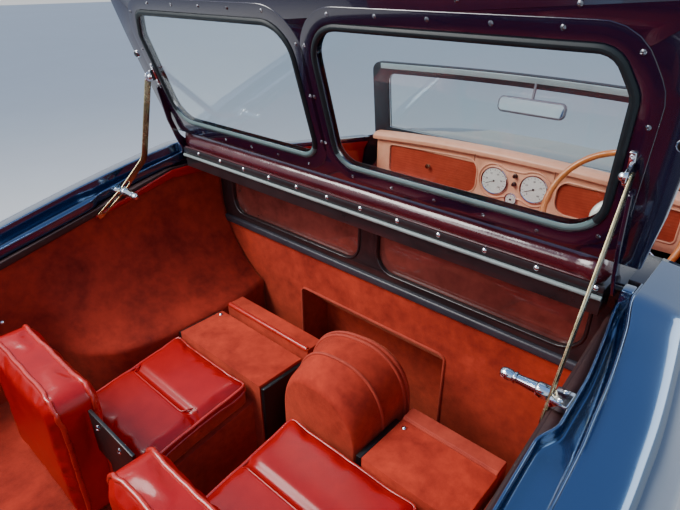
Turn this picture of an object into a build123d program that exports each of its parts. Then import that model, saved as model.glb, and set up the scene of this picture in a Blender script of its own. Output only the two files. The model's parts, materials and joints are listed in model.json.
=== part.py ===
from build123d import *
import math
import os

os.makedirs("parts", exist_ok=True)

# Open body tub of a two-seat roadster with a dickey seat behind, off its chassis.
# Millimetres. X points to the right-hand side, Y forward, Z up.
# Y = 0 is the front edge of the dickey opening, Z = 0 the underside of the body rails.

# Rim of the dickey opening
rim_front_z = 862.0
rim_fall = 0.24
rim_rear_y = -1050.0
rim_wall = 4.0
gutter_depth = 46.0
inner_lip_drop = 22.0
rear_gutter_width = 50.0

# Stations of the rim: y, half-width of the outer lip, half-width of the inner lip
rim_table = [
    (40, 577, 556),
    (0, 577, 556),
    (-68, 590, 564),
    (-162, 603, 572),
    (-225, 608, 572),
    (-262, 611, 558),
    (-378, 613, 560),
    (-468, 613, 563),
    (-600, 608, 560),
    (-750, 594, 546),
    (-900, 568, 518),
    (-1000, 530, 478),
]

# Body sides: y, shoulder x, shoulder drop below the rim, waist x, waist z, low x, sill x
side_table = [
    (148, 664, 62, 700, 600, 702, 680),
    (0, 672, 58, 706, 600, 708, 684),
    (-207, 692, 54, 716, 580, 718, 690),
    (-468, 700, 60, 722, 540, 722, 692),
    (-750, 684, 66, 706, 480, 708, 672),
    (-1000, 640, 72, 664, 420, 668, 630),
    (-1050, 628, 74, 652, 400, 656, 618),
]

# Tail: y, crown z, shoulder x, shoulder drop, waist x, waist z, low x, sill x
tail_table = [
    (-1050, 610, 628, 74, 652, 400, 656, 618),
    (-1150, 566, 596, 90, 622, 370, 626, 588),
    (-1250, 496, 540, 100, 572, 330, 576, 540),
    (-1320, 410, 470, 90, 512, 290, 516, 480),
    (-1350, 330, 410, 60, 450, 240, 460, 430),
]

# Scuttle: same columns as the tail
scuttle_table = [
    (882, 716, 640, 24, 672, 560, 676, 656),
    (1080, 712, 600, 30, 632, 550, 638, 618),
    (1300, 690, 500, 46, 540, 520, 548, 530),
]

skin = 4.0
body_bottom_z = 60.0
low_share = 0.5

# Underframe and floor
rail_x = 420.0
rail_width = 80.0
rail_height = 60.0
rail_rear_y = -1040.0
rail_front_y = 1280.0
cross_width = 60.0
mount_hole_y = 700.0
mount_hole_radius = 6.0
# Cross-members: y of the centre, half-length
cross_table = [(1230, 556), (860, 652), (180, 590), (-660, 676), (-1010, 628)]
floor_thickness = 12.0
floor_half_width = 560.0
toe_board_top_z = 300.0
toe_board_foot_y = 1120.0
firewall_y = scuttle_table[-1][0] - 12.0
firewall_thickness = 6.0
sill_top_z = 148.0
sill_inner_x = 600.0

# Wheel arches
arch_y = -240.0
arch_z = 30.0
arch_radius = 370.0
arch_liner = 5.0
arch_inner_x = 568.0

# Front lid, raised as a rear windscreen
lid_hinge_y = 17.0
lid_hinge_z = 854.0
lid_open_angle = 107.0
lid_closed_angle = 193.5
lid_front = 50.0
lid_length = 410.0
lid_inner = 4.5
lid_outer = 11.5
lid_side_gap = 9.6
pane_bar = 52.0
pane_foot = 89.0
pane_head = 351.0
pane_foot_x = 514.0
pane_head_x = 531.0
pane_corner_s = 300.0
seal_lap = 8.0
seal_cover = 6.0
seal_thickness = 4.5
glass_thickness = 5.0
arm_x = 543.0
arm_thickness = 6.0
hinge_pin_radius = 5.0
pin_clearance = 0.3
buffer_s = 250.0
buffer_radius = 9.0

# Stays between the lid and the rim
stay_s = 206.0
stay_h = 22.5
stay_x = 546.0
stay_thickness = 3.0
stay_width = 16.0
stay_slot = 7.0
stay_tail = 60.0
stay_bend_y = -111.0
stay_bend_z = 851.0
stay_bent_end_y = -250.0
stay_bent_end_z = 739.0
clamp_y = -184.0
clamp_z = 785.0
clamp_gap = 0.7
clamp_half_length = 17.0
clamp_rise = 6.0
clamp_foot = 6.0
bolt_play = 0.5
handle_radius = 8.5
handle_length = 69.0
collar_radius = 10.5
collar_length = 16.0

# Rear lid, open backwards
rear_lid_gap = 12.0
rear_edge_gap = 9.0
rear_lid_open = 100.0
rear_hinge_rise = 14.0
rear_lid_thickness = 16.0
rear_lining = 8.0
rear_lining_half = 455.0

# Deck between cockpit and dickey
deck_front_y = 148.0
deck_half = rim_table[0][2] - 20.0
deck_bottom_z = 806.0
roll_y = 20.0
roll_z = 873.0
roll_radius = 21.0
roll_half = arm_x - 6.0
seat_gap = 0.3
partition_y = 118.0
partition_bottom_z = 610.0
partition_thickness = 16.0
partition_half = 556.0
recess_inner_x = 28.0
recess_outer_x = 500.0
recess_bottom_z = 648.0
recess_top_z = 782.0
recess_depth = 9.0
bulkhead_thickness = 10.0
toe_recess_half = 230.0
toe_recess_top_z = 497.0
toe_recess_depth = 106.0

# Dickey trim
cover_thickness = 6.0
cover_edge_x = 555.0
# Side covers: y, x of the left cover's foot, x of the right cover's foot
cover_table = [
    (117.7, 391, 486),
    (0, 363, 474),
    (-68, 361, 473),
    (-200, 361, 473),
    (-320, 383, 481),
    (-400, 447, 505),
    (-450, 533, 539),
    (-600, 547, 547),
    (-750, 533, 533),
    (-900, 503, 503),
    (-1000, 463, 463),
]
# Shape of the bulge: height z, share of the way from the top edge to the foot
bulge_table = [(680, 0.0), (630, 0.06), (570, 0.24), (508, 0.54), (470, 0.82), (452, 1.0)]
boot_floor_z = 358.0
boot_floor_thickness = 10.0
boot_floor_front_y = -497.0
seat_front_y = -70.0
seat_step_y = -200.0
seat_rear_y = -490.0
seat_top_z = 460.0
seat_well_z = 396.0
cushion_front_z = 466.0
cushion_rear_z = 424.0
strip_front_y = 0.0
strip_rear_y = -50.0
strip_top_z = 472.0
ledge_front_y = -32.0
ledge_width = 34.0
ledge_height = 3.0
# Seats: name, base x from, base x to, cushion x from, cushion x to
seat_table = [("left", -345, -41, -354, -62), ("right", 250, 462, 62, 400)]
backrest_front_y = -506.0
backrest_thickness = 84.0
backrest_top_z = 653.0
backrest_inner_x = 73.0
backrest_outer_x = 400.0
hump_centre_x = 112.0
hump_half = 121.0
hump_base_z = 440.0
hump_power = 0.83
# Hump sections: y on the centre line, how far y grows per unit of x, top z, half width left of it
hump_table = [(-30, 0.20, 587, 121), (-110, 0.16, 583, 92), (-194, 0.0, 556, 84)]

# Cockpit
screen_y = 915.0
screen_top_z = 999.0
screen_rise = 18.0
screen_half = 600.0
screen_bar = 36.0
screen_side = 70.0
screen_depth = 20.0
screen_rake = 6.0
dash_y = 870.0
dash_half = 560.0
dash_bottom_z = 560.0
dash_top_z = 700.0
dash_rise = 26.0
dash_thickness = 12.0
wheel_x = 362.0
wheel_y = 700.0
wheel_z = 685.0
wheel_tilt = 25.0
wheel_radius = 178.0
wheel_rim = 9.5
hub_radius = 54.0
column_radius = 19.0
spoke_turns = (30, 150, 270)
bench_half = 545.0
mirror_x = 29.0
mirror_y = 866.0
mirror_z = 904.0
mirror_half_width = 108.0
mirror_half_height = 25.0
mirror_depth = 14.0
mirror_tilt = 10.0

# Doors
door_rear_y = 155.0
door_front_y = 875.0
door_thickness = 42.0
door_bottom_z = 154.0
door_hinge_x = 684.0
door_hinge_y = 878.5
door_hinge_heights = (620.0, 250.0)
door_hinge_foot_x = 645.0


def rim_z(y):
    return rim_front_z + rim_fall * min(y, 0.0)


def lookup(table, y, column):
    rows = sorted(table)
    for low, high in zip(rows, rows[1:]):
        if low[0] <= y <= high[0]:
            share = (y - low[0]) / (high[0] - low[0])
            return low[column] + share * (high[column] - low[column])
    nearest = rows[0] if y < rows[0][0] else rows[-1]
    return nearest[column]


def block(x0, x1, y0, y1, z0, z1):
    centre = ((x0 + x1) / 2, (y0 + y1) / 2, (z0 + z1) / 2)
    return Pos(*centre) * Box(x1 - x0, y1 - y0, z1 - z0)


def prism_x(points, x0, x1):
    face = make_face(Polyline(*[(x0, y, z) for y, z in points], close=True))
    return extrude(face, amount=x1 - x0, dir=(1, 0, 0))


def prism_y(points, y0, y1):
    face = make_face(Polyline(*[(x, y0, z) for x, z in points], close=True))
    return extrude(face, amount=y1 - y0, dir=(0, 1, 0))


def rod(start, end, radius):
    start = Vector(*start)
    end = Vector(*end)
    along = Plane(origin=start, z_dir=end - start)
    return Solid.make_cylinder(radius, (end - start).length, along)


def loft_y(sections):
    faces = []
    for y, points in sections:
        faces.append(make_face(Polyline(*[(x, y, z) for x, z in points], close=True)))
    return loft(faces, ruled=True)


def inward(points, depth):
    # Offset of an open line towards the inside of the body, mitred at its corners.
    normals = []
    for (xa, za), (xb, zb) in zip(points, points[1:]):
        run = math.hypot(xb - xa, zb - za)
        normals.append(((zb - za) / run, -(xb - xa) / run))
    shifted = []
    for i, (x, z) in enumerate(points):
        before = normals[max(i - 1, 0)]
        after = normals[min(i, len(normals) - 1)]
        nx = before[0] + after[0]
        nz = before[1] + after[1]
        reach = depth * 2 / (nx * nx + nz * nz)
        shifted.append((x + nx * reach, z + nz * reach))
    return shifted


def flip(shape):
    return mirror(shape, about=Plane.YZ)


def save(name, shape):
    export_step(shape, f"parts/{name}.step")


def pieces(*shapes):
    return Compound(children=[Part() + shape for shape in shapes])


# Body side panels
def side_line(row):
    y, shoulder_x, drop, waist_x, waist_z, low_x, sill_x = row
    lip = lookup(rim_table, y, 1)
    top = rim_z(y)
    return [
        (lip, top),
        (lip + 10, top - 1),
        ((lip + shoulder_x) / 2 + 9, top - 0.34 * drop),
        (shoulder_x, top - drop),
        (shoulder_x + 0.62 * (waist_x - shoulder_x), top - drop - 50),
        (waist_x, waist_z),
        (low_x, low_share * waist_z),
        (sill_x, body_bottom_z),
    ]


def side_panel():
    stations = sorted(set([row[0] for row in side_table]) | set([40, -68, -162, -225, -262, -378, -600, -900]))
    sheet = []
    beyond = []
    for y in stations:
        row = [y] + [lookup(side_table, y, column) for column in range(1, 7)]
        outer = side_line(row)
        inner = inward(outer, skin)
        inner[0] = (outer[0][0], inner[0][1])
        inner[-1] = (inner[-1][0], body_bottom_z)
        sheet.append((y, outer + inner[::-1]))
        beyond.append((y, [(900, 1000), (inner[0][0], 1000)] + inner + [(inner[-1][0], -80), (900, -80)]))
    panel = loft_y(sheet)
    outside = loft_y(beyond)
    opening = rod((500, arch_y, arch_z), (900, arch_y, arch_z), arch_radius)
    return panel - opening, outside


def arch_liner_panel(outside):
    outer = rod((arch_inner_x, arch_y, arch_z), (760, arch_y, arch_z), arch_radius + arch_liner + 10)
    inner = rod((arch_inner_x + arch_liner, arch_y, arch_z), (800, arch_y, arch_z), arch_radius + 10)
    below = block(500, 900, arch_y - 450, arch_y + 450, -500, body_bottom_z)
    return outer - inner - below - outside


def crown_line(row):
    y, crown, shoulder_x, drop, waist_x, waist_z, low_x, sill_x = row
    return [
        (0, crown + 8),
        (0.6 * shoulder_x, crown + 4),
        (0.92 * shoulder_x, crown - 0.3 * drop),
        (shoulder_x, crown - drop),
        (shoulder_x + 0.62 * (waist_x - shoulder_x), crown - drop - 0.3 * (crown - drop - waist_z)),
        (waist_x, waist_z),
        (low_x, low_share * waist_z + 20),
        (sill_x, body_bottom_z),
    ]


def crown_section(line, bottom):
    right = line[:-1] + [(line[-1][0], bottom)]
    left = [(-x, z) for x, z in right[1:]][::-1]
    return right + left


def crown_shell(table, wall, cap_rear):
    outer = loft_y([(row[0], crown_section(crown_line(row), body_bottom_z)) for row in table])
    inner_rows = []
    for row in table:
        line = inward(crown_line(row), wall)
        line[0] = (0, line[0][1])
        inner_rows.append((row[0], crown_section(line, body_bottom_z - 20)))
    if cap_rear:
        first_y, first = inner_rows[-1]
        inner_rows[-1] = (first_y + wall, first)
    return outer, loft_y(inner_rows)


def tail_panel():
    outer, inner = crown_shell(tail_table, skin, True)
    shell = outer - inner
    plate_box = block(-170, 170, -1362, -1340, 150, 262)
    plate_hollow = block(-164, 164, -1370, -1358, 156, 256)
    plate_box = (plate_box - plate_hollow) - inner
    return shell + plate_box


def scuttle_panel():
    outer, inner = crown_shell(scuttle_table, skin, False)
    firewall = inner & block(-700, 700, firewall_y, firewall_y + firewall_thickness, body_bottom_z, 900)
    return outer, (outer - inner) + firewall


# Gutter round the opening
def gutter_section(y):
    lip = lookup(rim_table, y, 1)
    inner = lookup(rim_table, y, 2)
    top = rim_z(y)
    low = top - gutter_depth
    return [
        (lip, top - 3 * skin / 2),
        (lip, low),
        (inner, low),
        (inner, top - inner_lip_drop),
        (inner + rim_wall, top - inner_lip_drop),
        (inner + rim_wall, low + rim_wall),
        (lip - rim_wall, low + rim_wall),
        (lip - rim_wall, top),
        (lip - 0.01, top),
        (lip - 0.01, top - 3 * skin / 2),
    ]


def gutter_side():
    channel = loft_y([(row[0], gutter_section(row[0])) for row in rim_table[::-1]])
    lip = rim_table[0][1]
    inner = rim_table[0][2]
    front = rim_table[0][0]
    low = rim_front_z - gutter_depth
    end_wall = block(inner, lip - rim_wall, front - rim_wall, front, low, rim_front_z - inner_lip_drop)
    wall_face = lip - rim_wall
    ear = block(inner, wall_face, lid_hinge_y - 13, lid_hinge_y + 13, low, rim_front_z - 1)
    pin = rod((arm_x - 3, lid_hinge_y, lid_hinge_z), (inner + 1, lid_hinge_y, lid_hinge_z), hinge_pin_radius)
    return channel + end_wall + ear + pin


def gutter_rear():
    front = rim_rear_y + rear_gutter_width
    half = lookup(rim_table, front, 1)
    top_rear = rim_z(rim_rear_y)
    top_front = rim_z(front)
    low_rear = top_rear - gutter_depth
    low_front = top_front - gutter_depth
    outline = [
        (rim_rear_y, low_rear),
        (rim_rear_y, top_rear - 1),
        (rim_rear_y + rim_wall, top_rear - 1),
        (rim_rear_y + rim_wall, low_rear + rim_wall),
        (front - rim_wall, low_front + rim_wall),
        (front - rim_wall, top_front - inner_lip_drop),
        (front, top_front - inner_lip_drop),
        (front, low_front),
    ]
    return prism_x(outline, -half, half)


# Underframe
def sill():
    sections = []
    for y in (deck_front_y, scuttle_table[0][0]):
        sill_x = side_table[0][6] if y == deck_front_y else scuttle_table[0][7]
        low_x = side_table[0][5] if y == deck_front_y else scuttle_table[0][6]
        edge = sill_x + (low_x - sill_x) * (sill_top_z - body_bottom_z) / 240
        sections.append((y, [(sill_inner_x, body_bottom_z), (sill_x, body_bottom_z),
                             (edge, sill_top_z), (sill_inner_x, sill_top_z)]))
    return loft_y(sections)


def underframe():
    frame = Part()
    for side in (-1, 1):
        x0 = side * rail_x - rail_width / 2
        frame += block(x0, x0 + rail_width, rail_rear_y, rail_front_y, 0, rail_height)
    for y, half in cross_table:
        frame += block(-half, half, y - cross_width / 2, y + cross_width / 2, 0, rail_height)
    for side in (-1, 1):
        for y in (-mount_hole_y, mount_hole_y):
            frame -= rod((side * rail_x, y, -1), (side * rail_x, y, rail_height + 1), mount_hole_radius)
    right = sill()
    return frame + right + flip(right)


def floor_pan():
    top = body_bottom_z + floor_thickness
    rise = (toe_board_top_z - top) / (firewall_y - toe_board_foot_y)
    flat = block(-floor_half_width, floor_half_width, rail_rear_y, deck_front_y + 20, body_bottom_z, top)
    half = sill_inner_x - 0.5
    sill_end = scuttle_table[0][0]
    cockpit = block(-half, half, deck_front_y + 20, sill_end, body_bottom_z, top)
    cockpit += block(-half + 14, half - 14, sill_end, toe_board_foot_y, body_bottom_z, top)
    run = firewall_y - toe_board_foot_y
    board = [
        (toe_board_foot_y, body_bottom_z),
        (toe_board_foot_y, top),
        (firewall_y, toe_board_top_z),
        (firewall_y, toe_board_top_z - floor_thickness * math.hypot(1, rise)),
        (firewall_y - run + 12, body_bottom_z),
    ]
    return flat + cockpit + prism_x(board, -490, 490)


# Front lid
def lid_at_rest(shape):
    return Pos(0, lid_hinge_y, lid_hinge_z) * Rot(lid_open_angle, 0, 0) * shape


def lid_half_width(s):
    y = lid_hinge_y + s * math.cos(math.radians(lid_closed_angle))
    return lookup(rim_table, y, 1) - lid_side_gap


def lid_point(s, h, angle):
    # A point s along the lid and h above its hinge plane, for a lid turned to an angle.
    turn = math.radians(angle)
    y = lid_hinge_y + s * math.cos(turn) + h * math.sin(turn)
    z = lid_hinge_z + s * math.sin(turn) - h * math.cos(turn)
    return y, z


def pane_sketch(grow):
    inner = pane_bar / 2 - grow
    foot = pane_foot - grow
    head = pane_head + grow
    corners = [
        (inner, foot),
        (pane_foot_x + grow, foot),
        (pane_head_x + grow, pane_corner_s),
        (pane_head_x - 26 + grow, head),
        (inner, head),
    ]
    radii = [42 + grow, 62 + grow, 34 + grow, 34 + grow, 62 + grow]
    line = FilletPolyline(*corners, radius=radii, close=True)
    return make_face(line)


def slab(sketch, z0, z1):
    return extrude(Pos(0, 0, z0) * sketch, amount=z1 - z0, dir=(0, 0, 1))


def lid_frame():
    steps = [lid_front, 140, 240, 300, lid_length]
    right = [(lid_half_width(s), s) for s in steps]
    left = [(-x, s) for x, s in right[::-1]]
    outline = make_face(Polyline(*(right + left), close=True))
    plate = slab(outline, -lid_outer, lid_inner)
    hole = slab(pane_sketch(0), -lid_outer - 1, lid_inner + 1)
    return lid_at_rest(plate - hole - flip(hole))


def lid_glass():
    pane = slab(pane_sketch(-0.2), lid_inner - glass_thickness, lid_inner)
    return pieces(lid_at_rest(pane), lid_at_rest(flip(pane)))


def lid_seals():
    ring = slab(pane_sketch(seal_lap), lid_inner, lid_inner + seal_thickness)
    ring -= slab(pane_sketch(-seal_cover), lid_inner - 1, lid_inner + seal_thickness + 1)
    return pieces(lid_at_rest(ring), lid_at_rest(flip(ring)))


def lid_bracket_side():
    # Swan-neck hinge arm beside the roll end, then the bracket that carries the stay.
    arm_outline = [
        (-8, 10), (30, 20), (90, 23), (140, 18), (176, 14), (176, lid_inner), (108, lid_inner),
        (88, 10), (40, 6), (12, -8), (-6, -8),
    ]
    arm = make_face(Polyline(*[(arm_x, s, h) for s, h in arm_outline], close=True))
    arm = extrude(arm, amount=arm_thickness, dir=(1, 0, 0))
    arm += rod((arm_x, 0, 0), (arm_x + arm_thickness, 0, 0), 12)
    arm -= rod((arm_x - 1, 0, 0), (arm_x + 20, 0, 0), hinge_pin_radius + pin_clearance)
    edge = stay_x - stay_thickness / 2 - 1
    foot = block(edge - 8.6, edge, stay_s - 26, stay_s + 26, lid_inner, lid_inner + 4)
    lug = block(edge - 5, edge, stay_s - 11, stay_s + 11, lid_inner, stay_h)
    lug += rod((edge - 5, stay_s, stay_h), (edge, stay_s, stay_h), 11)
    pivot = rod((edge - 9, stay_s, stay_h), (stay_x + stay_thickness / 2, stay_s, stay_h), 4)
    buffer_x = lid_half_width(buffer_s) - buffer_radius
    buffer = rod((buffer_x, buffer_s, lid_inner), (buffer_x, buffer_s, lid_inner + 5), buffer_radius)
    return lid_at_rest(arm), lid_at_rest(foot + lug + pivot), lid_at_rest(buffer)


def lid_brackets():
    solids = lid_bracket_side()
    return pieces(*solids, *[flip(solid) for solid in solids])


# Stays
def stay(bent):
    pivot = lid_point(stay_s, -stay_h, lid_open_angle)
    if bent:
        route = [pivot, (stay_bend_y, stay_bend_z), (clamp_y, clamp_z), (stay_bent_end_y, stay_bent_end_z)]
    else:
        run = math.hypot(clamp_y - pivot[0], clamp_z - pivot[1])
        reach = (run + stay_tail) / run
        end = (pivot[0] + (clamp_y - pivot[0]) * reach, pivot[1] + (clamp_z - pivot[1]) * reach)
        route = [pivot, end]
    x0 = stay_x - stay_thickness / 2
    x1 = stay_x + stay_thickness / 2
    outline = Sketch()
    slot = Sketch()
    for a, b in zip(route, route[1:]):
        run = math.hypot(b[0] - a[0], b[1] - a[1])
        angle = math.degrees(math.atan2(b[1] - a[1], b[0] - a[0]))
        place = Pos(a[0], a[1]) * Rot(0, 0, angle)
        outline += place * Pos(run / 2, 0) * SlotCenterToCenter(run, stay_width)
        start = 40 if a == pivot else 0
        stop = run - 14 if b == route[-1] else run
        slot += place * Pos((start + stop) / 2, 0) * SlotCenterToCenter(stop - start, stay_slot)
    slot += Pos(*pivot) * Circle(4 + pin_clearance)
    sheet = Plane.YZ.offset(x0) * (outline - slot)
    strip = extrude(sheet, amount=stay_thickness, dir=(1, 0, 0))
    tip = x0 - handle_length
    profile = [(tip, 0), (tip, 3.5), (tip + 1.5, 6.3), (tip + 4.5, handle_radius),
               (x0 - collar_length, handle_radius), (x0 - collar_length, collar_radius),
               (x0, collar_radius), (x0, 0)]
    handle = revolve(make_face(Polyline(*profile, close=True)), axis=Axis.X)
    bolt = rod((x0 - 1, clamp_y, clamp_z), (x1, clamp_y, clamp_z), stay_slot / 2 - bolt_play)
    return strip + Pos(0, clamp_y, clamp_z) * handle + bolt


def stay_clamp():
    face = stay_x + stay_thickness / 2 + clamp_gap
    lip = lookup(rim_table, clamp_y, 2)
    low = rim_z(clamp_y) - gutter_depth + clamp_foot
    return block(face, lip, clamp_y - clamp_half_length, clamp_y + clamp_half_length, low, clamp_z + clamp_rise)


# Rear lid
def rear_lid_shapes():
    slope = math.degrees(math.atan(rim_fall))
    pitch = math.cos(math.radians(slope))
    front_closed = lid_point(lid_length, 0, lid_closed_angle)[0] - rear_lid_gap
    rear_closed = rim_rear_y + rim_wall + rear_edge_gap
    hinge_y = rim_rear_y + rim_wall + 2
    hinge_z = rim_z(hinge_y) + rear_hinge_rise
    steps = [rear_closed, -1000, -900, -750, -600, -468, front_closed]
    right = []
    for y in steps:
        right.append((lookup(rim_table, y, 1) - lid_side_gap, (y - hinge_y) / pitch))
    left = [(-x, s) for x, s in right[::-1]]
    outline = make_face(Polyline(*(right + left), close=True))
    top = -rear_hinge_rise * pitch
    plate = slab(outline, top - rear_lid_thickness, top)
    lining_front = (front_closed - 96 - hinge_y) / pitch
    lining = block(-rear_lining_half, rear_lining_half, 74, lining_front,
                   top - rear_lid_thickness - rear_lining, top - rear_lid_thickness)
    leaves = []
    for side in (-1, 1):
        x = side * 300
        leaf = block(x - 18, x + 18, -2, 96, top, top + 4)
        barrel = rod((x - 18, 0, 0), (x + 18, 0, 0), 7) + block(x - 18, x + 18, -4, 8, top + 1, 0)
        pin_hole = rod((x - 30, 0, 0), (x + 30, 0, 0), 3 + pin_clearance)
        leaves.append(leaf + barrel - pin_hole)
    place = Pos(0, hinge_y, hinge_z) * Rot(slope + rear_lid_open, 0, 0)
    return place * plate, place * lining, [place * leaf for leaf in leaves], hinge_y, hinge_z


def rear_hinge_lugs(hinge_y, hinge_z):
    # Fixed knuckles with their pin, one pair each side of every leaf.
    lugs = []
    for side in (-1, 1):
        x = side * 300
        lug = rod((x - 26, hinge_y, hinge_z), (x + 26, hinge_y, hinge_z), 3)
        for offset in (-24, 24):
            cx = x + offset
            lug += rod((cx - 5, hinge_y, hinge_z), (cx + 5, hinge_y, hinge_z), 7)
            foot = [
                (hinge_y - 4, hinge_z - 3),
                (hinge_y - 6, rim_z(rim_rear_y) + 14),
                (rim_rear_y - 40, rim_z(rim_rear_y) - 2),
                (rim_rear_y - 40, rim_z(rim_rear_y) - 30),
                (rim_rear_y - 2, rim_z(rim_rear_y) - 20),
                (hinge_y - 5, hinge_z - 6),
            ]
            lug += prism_x(foot, cx - 5, cx + 5)
        lugs.append(lug)
    return lugs


# Deck, partition and bulkhead
def deck_rail():
    top = roll_z - roll_radius - seat_gap
    narrow = block(-deck_half, deck_half, 3, rim_table[0][0], deck_bottom_z, top)
    wide = block(-572, 572, rim_table[0][0] + seat_gap, deck_front_y, deck_bottom_z, top)
    joint = block(-deck_half, deck_half, 30, 60, deck_bottom_z, top)
    edge = block(556, 576.8, rim_table[0][0] + seat_gap, deck_front_y, top - 4, rim_front_z)
    return narrow + wide + joint + edge + flip(edge)


def trim_roll():
    roll = rod((-roll_half, roll_y, roll_z), (roll_half, roll_y, roll_z), roll_radius)
    return roll


def stud_strip():
    strip = block(-deck_half, deck_half, 0, 3, 846, 858)
    return strip


def seal_bead():
    return rod((-deck_half, -1, 838), (deck_half, -1, 838), 4)


def recess_face(grow):
    corners = [
        (recess_inner_x - grow, recess_bottom_z - grow),
        (recess_outer_x + grow, recess_bottom_z - grow),
        (recess_outer_x + grow, recess_top_z + grow),
        (recess_inner_x - grow, recess_top_z + grow),
    ]
    line = FilletPolyline(*[(x, 0, z) for x, z in corners], radius=46 + grow, close=True)
    return make_face(line)


def partition():
    front = partition_y
    back = partition_y + partition_thickness
    panel = block(-partition_half, partition_half, front, back, partition_bottom_z, deck_bottom_z)
    hole = extrude(Pos(0, front - 1, 0) * recess_face(0), amount=partition_thickness + 2, dir=(0, 1, 0))
    pane = extrude(Pos(0, front + recess_depth, 0) * recess_face(-seat_gap),
                   amount=back - front - recess_depth, dir=(0, 1, 0))
    return panel - hole - flip(hole), pieces(pane, flip(pane))


def bulkhead():
    floor_top = body_bottom_z + floor_thickness
    y0 = partition_y + 2
    y1 = y0 + bulkhead_thickness
    half = 556
    panel = block(-half, half, y0, y1, floor_top, partition_bottom_z)
    half_gap = toe_recess_half
    panel -= block(-half_gap, half_gap, y0 - 1, y1 + 1, floor_top - 1, toe_recess_top_z)
    wall = 6
    outline = [(y0, floor_top), (y0, toe_recess_top_z + wall), (y0 + toe_recess_depth, 400),
               (y0 + toe_recess_depth, floor_top)]
    hollow = [(y0 - 1, floor_top - 1), (y0 - 1, toe_recess_top_z),
              (y0 + toe_recess_depth - wall, 396), (y0 + toe_recess_depth - wall, floor_top - 1)]
    box = prism_x(outline, -half_gap - wall, half_gap + wall) - prism_x(hollow, -half_gap, half_gap)
    return panel + box


# Dickey trim
def cover(column, side):
    sections = []
    for row in cover_table:
        y = row[0]
        edge = min(cover_edge_x, lookup(rim_table, y, 2) - 3)
        bulge = edge - row[column]
        top = min(rim_z(y) - gutter_depth, deck_bottom_z) - seat_gap
        line = [(edge, top)]
        for z, share in bulge_table:
            if z < top - 10:
                line.append((edge - bulge * share, z))
        while len(line) < len(bulge_table) + 1:
            line.insert(1, (edge, (line[0][1] + line[1][1]) / 2))
        line.append((edge - bulge, body_bottom_z + floor_thickness))
        outer = [(x + cover_thickness, z) for x, z in line]
        sections.append((y, line + outer[::-1]))
    shape = loft_y(sections)
    return shape if side > 0 else flip(shape)


def boot_floor(left_cover, right_cover):
    y0 = rim_rear_y + 20
    plate = block(-560, 560, y0, boot_floor_front_y, boot_floor_z - boot_floor_thickness, boot_floor_z)
    riser = block(-545, 545, boot_floor_front_y, boot_floor_front_y + 5,
                  body_bottom_z + floor_thickness, boot_floor_z)
    rear = block(-460, 460, y0 - 6, y0, body_bottom_z + floor_thickness,
                 rim_z(rim_rear_y) - gutter_depth - seat_gap)
    return plate + riser + rear - left_cover - right_cover


def seat_base(x0, x1, cushion_x0, cushion_x1, front_y):
    floor_top = body_bottom_z + floor_thickness
    front = [
        (front_y, floor_top),
        (front_y, seat_top_z),
        (seat_step_y, seat_top_z),
        (seat_step_y, floor_top),
    ]
    well = [
        (seat_step_y, floor_top),
        (seat_step_y, seat_well_z),
        (seat_rear_y, seat_well_z - 42),
        (seat_rear_y, floor_top),
    ]
    shape = prism_x(front, x0, x1)
    shape += prism_x(well, cushion_x0 + 8, cushion_x1 - 8)
    return shape


def seat_strip(x0, x1):
    floor_top = body_bottom_z + floor_thickness
    return block(x0, x1, strip_rear_y, strip_front_y, floor_top, strip_top_z)


def seat_ledge(x0, x1):
    return block(x0, x1, ledge_front_y - ledge_width, ledge_front_y, seat_top_z, seat_top_z + ledge_height)


def cushion(x0, x1):
    front = seat_step_y - seat_gap
    slope = 42 / (seat_step_y - seat_rear_y)
    rise = seat_gap
    outline = [
        (front, seat_well_z + rise),
        (front, cushion_front_z - 12),
        (front - 12, cushion_front_z),
        (seat_rear_y + 10, cushion_rear_z),
        (seat_rear_y, cushion_rear_z - 10),
        (seat_rear_y, seat_well_z + rise - slope * (seat_step_y - seat_rear_y)),
    ]
    return prism_x(outline, x0, x1)


def backrest():
    rear = backrest_front_y - backrest_thickness
    low = boot_floor_z + seat_gap
    corner = 46
    line = FilletPolyline(
        (backrest_inner_x, rear, low), (backrest_outer_x, rear, low),
        (backrest_outer_x, rear, backrest_top_z), (backrest_inner_x, rear, backrest_top_z),
        radius=[6, 6, corner, corner], close=True)
    return extrude(make_face(line), amount=backrest_thickness, dir=(0, 1, 0))


def hump():
    floor_top = body_bottom_z + floor_thickness
    sections = []
    for middle_y, slant, top, left_half in hump_table:
        points = [(-left_half, floor_top)]
        for i in range(13):
            turn = math.pi * (1 - i / 12)
            across = math.copysign(abs(math.cos(turn)) ** hump_power, math.cos(turn))
            up = math.sin(turn) ** hump_power
            half = left_half if across < 0 else hump_half
            points.append((half * across, hump_base_z + (top - hump_base_z) * up))
        points.append((hump_half, floor_top))
        line = [(hump_centre_x + x, middle_y + slant * x, z) for x, z in points]
        sections.append(make_face(Polyline(*line, close=True)))
    return loft(sections[::-1], ruled=True)


def ironwork():
    floor_top = body_bottom_z + floor_thickness
    bars = []
    for x0, x1 in ((-357, -347), (-39, -29), (236, 247)):
        bars.append(block(x0, x1, -198, seat_front_y, floor_top, seat_top_z - 6))
    y0 = backrest_front_y - 30
    plate = block(-backrest_inner_x + seat_gap, backrest_inner_x - seat_gap, y0, y0 + 6, 520, 612)
    foot = block(-30, 30, y0, y0 + 6, boot_floor_z, 520)
    bars.append(plate + foot)
    return pieces(*bars)


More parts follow.
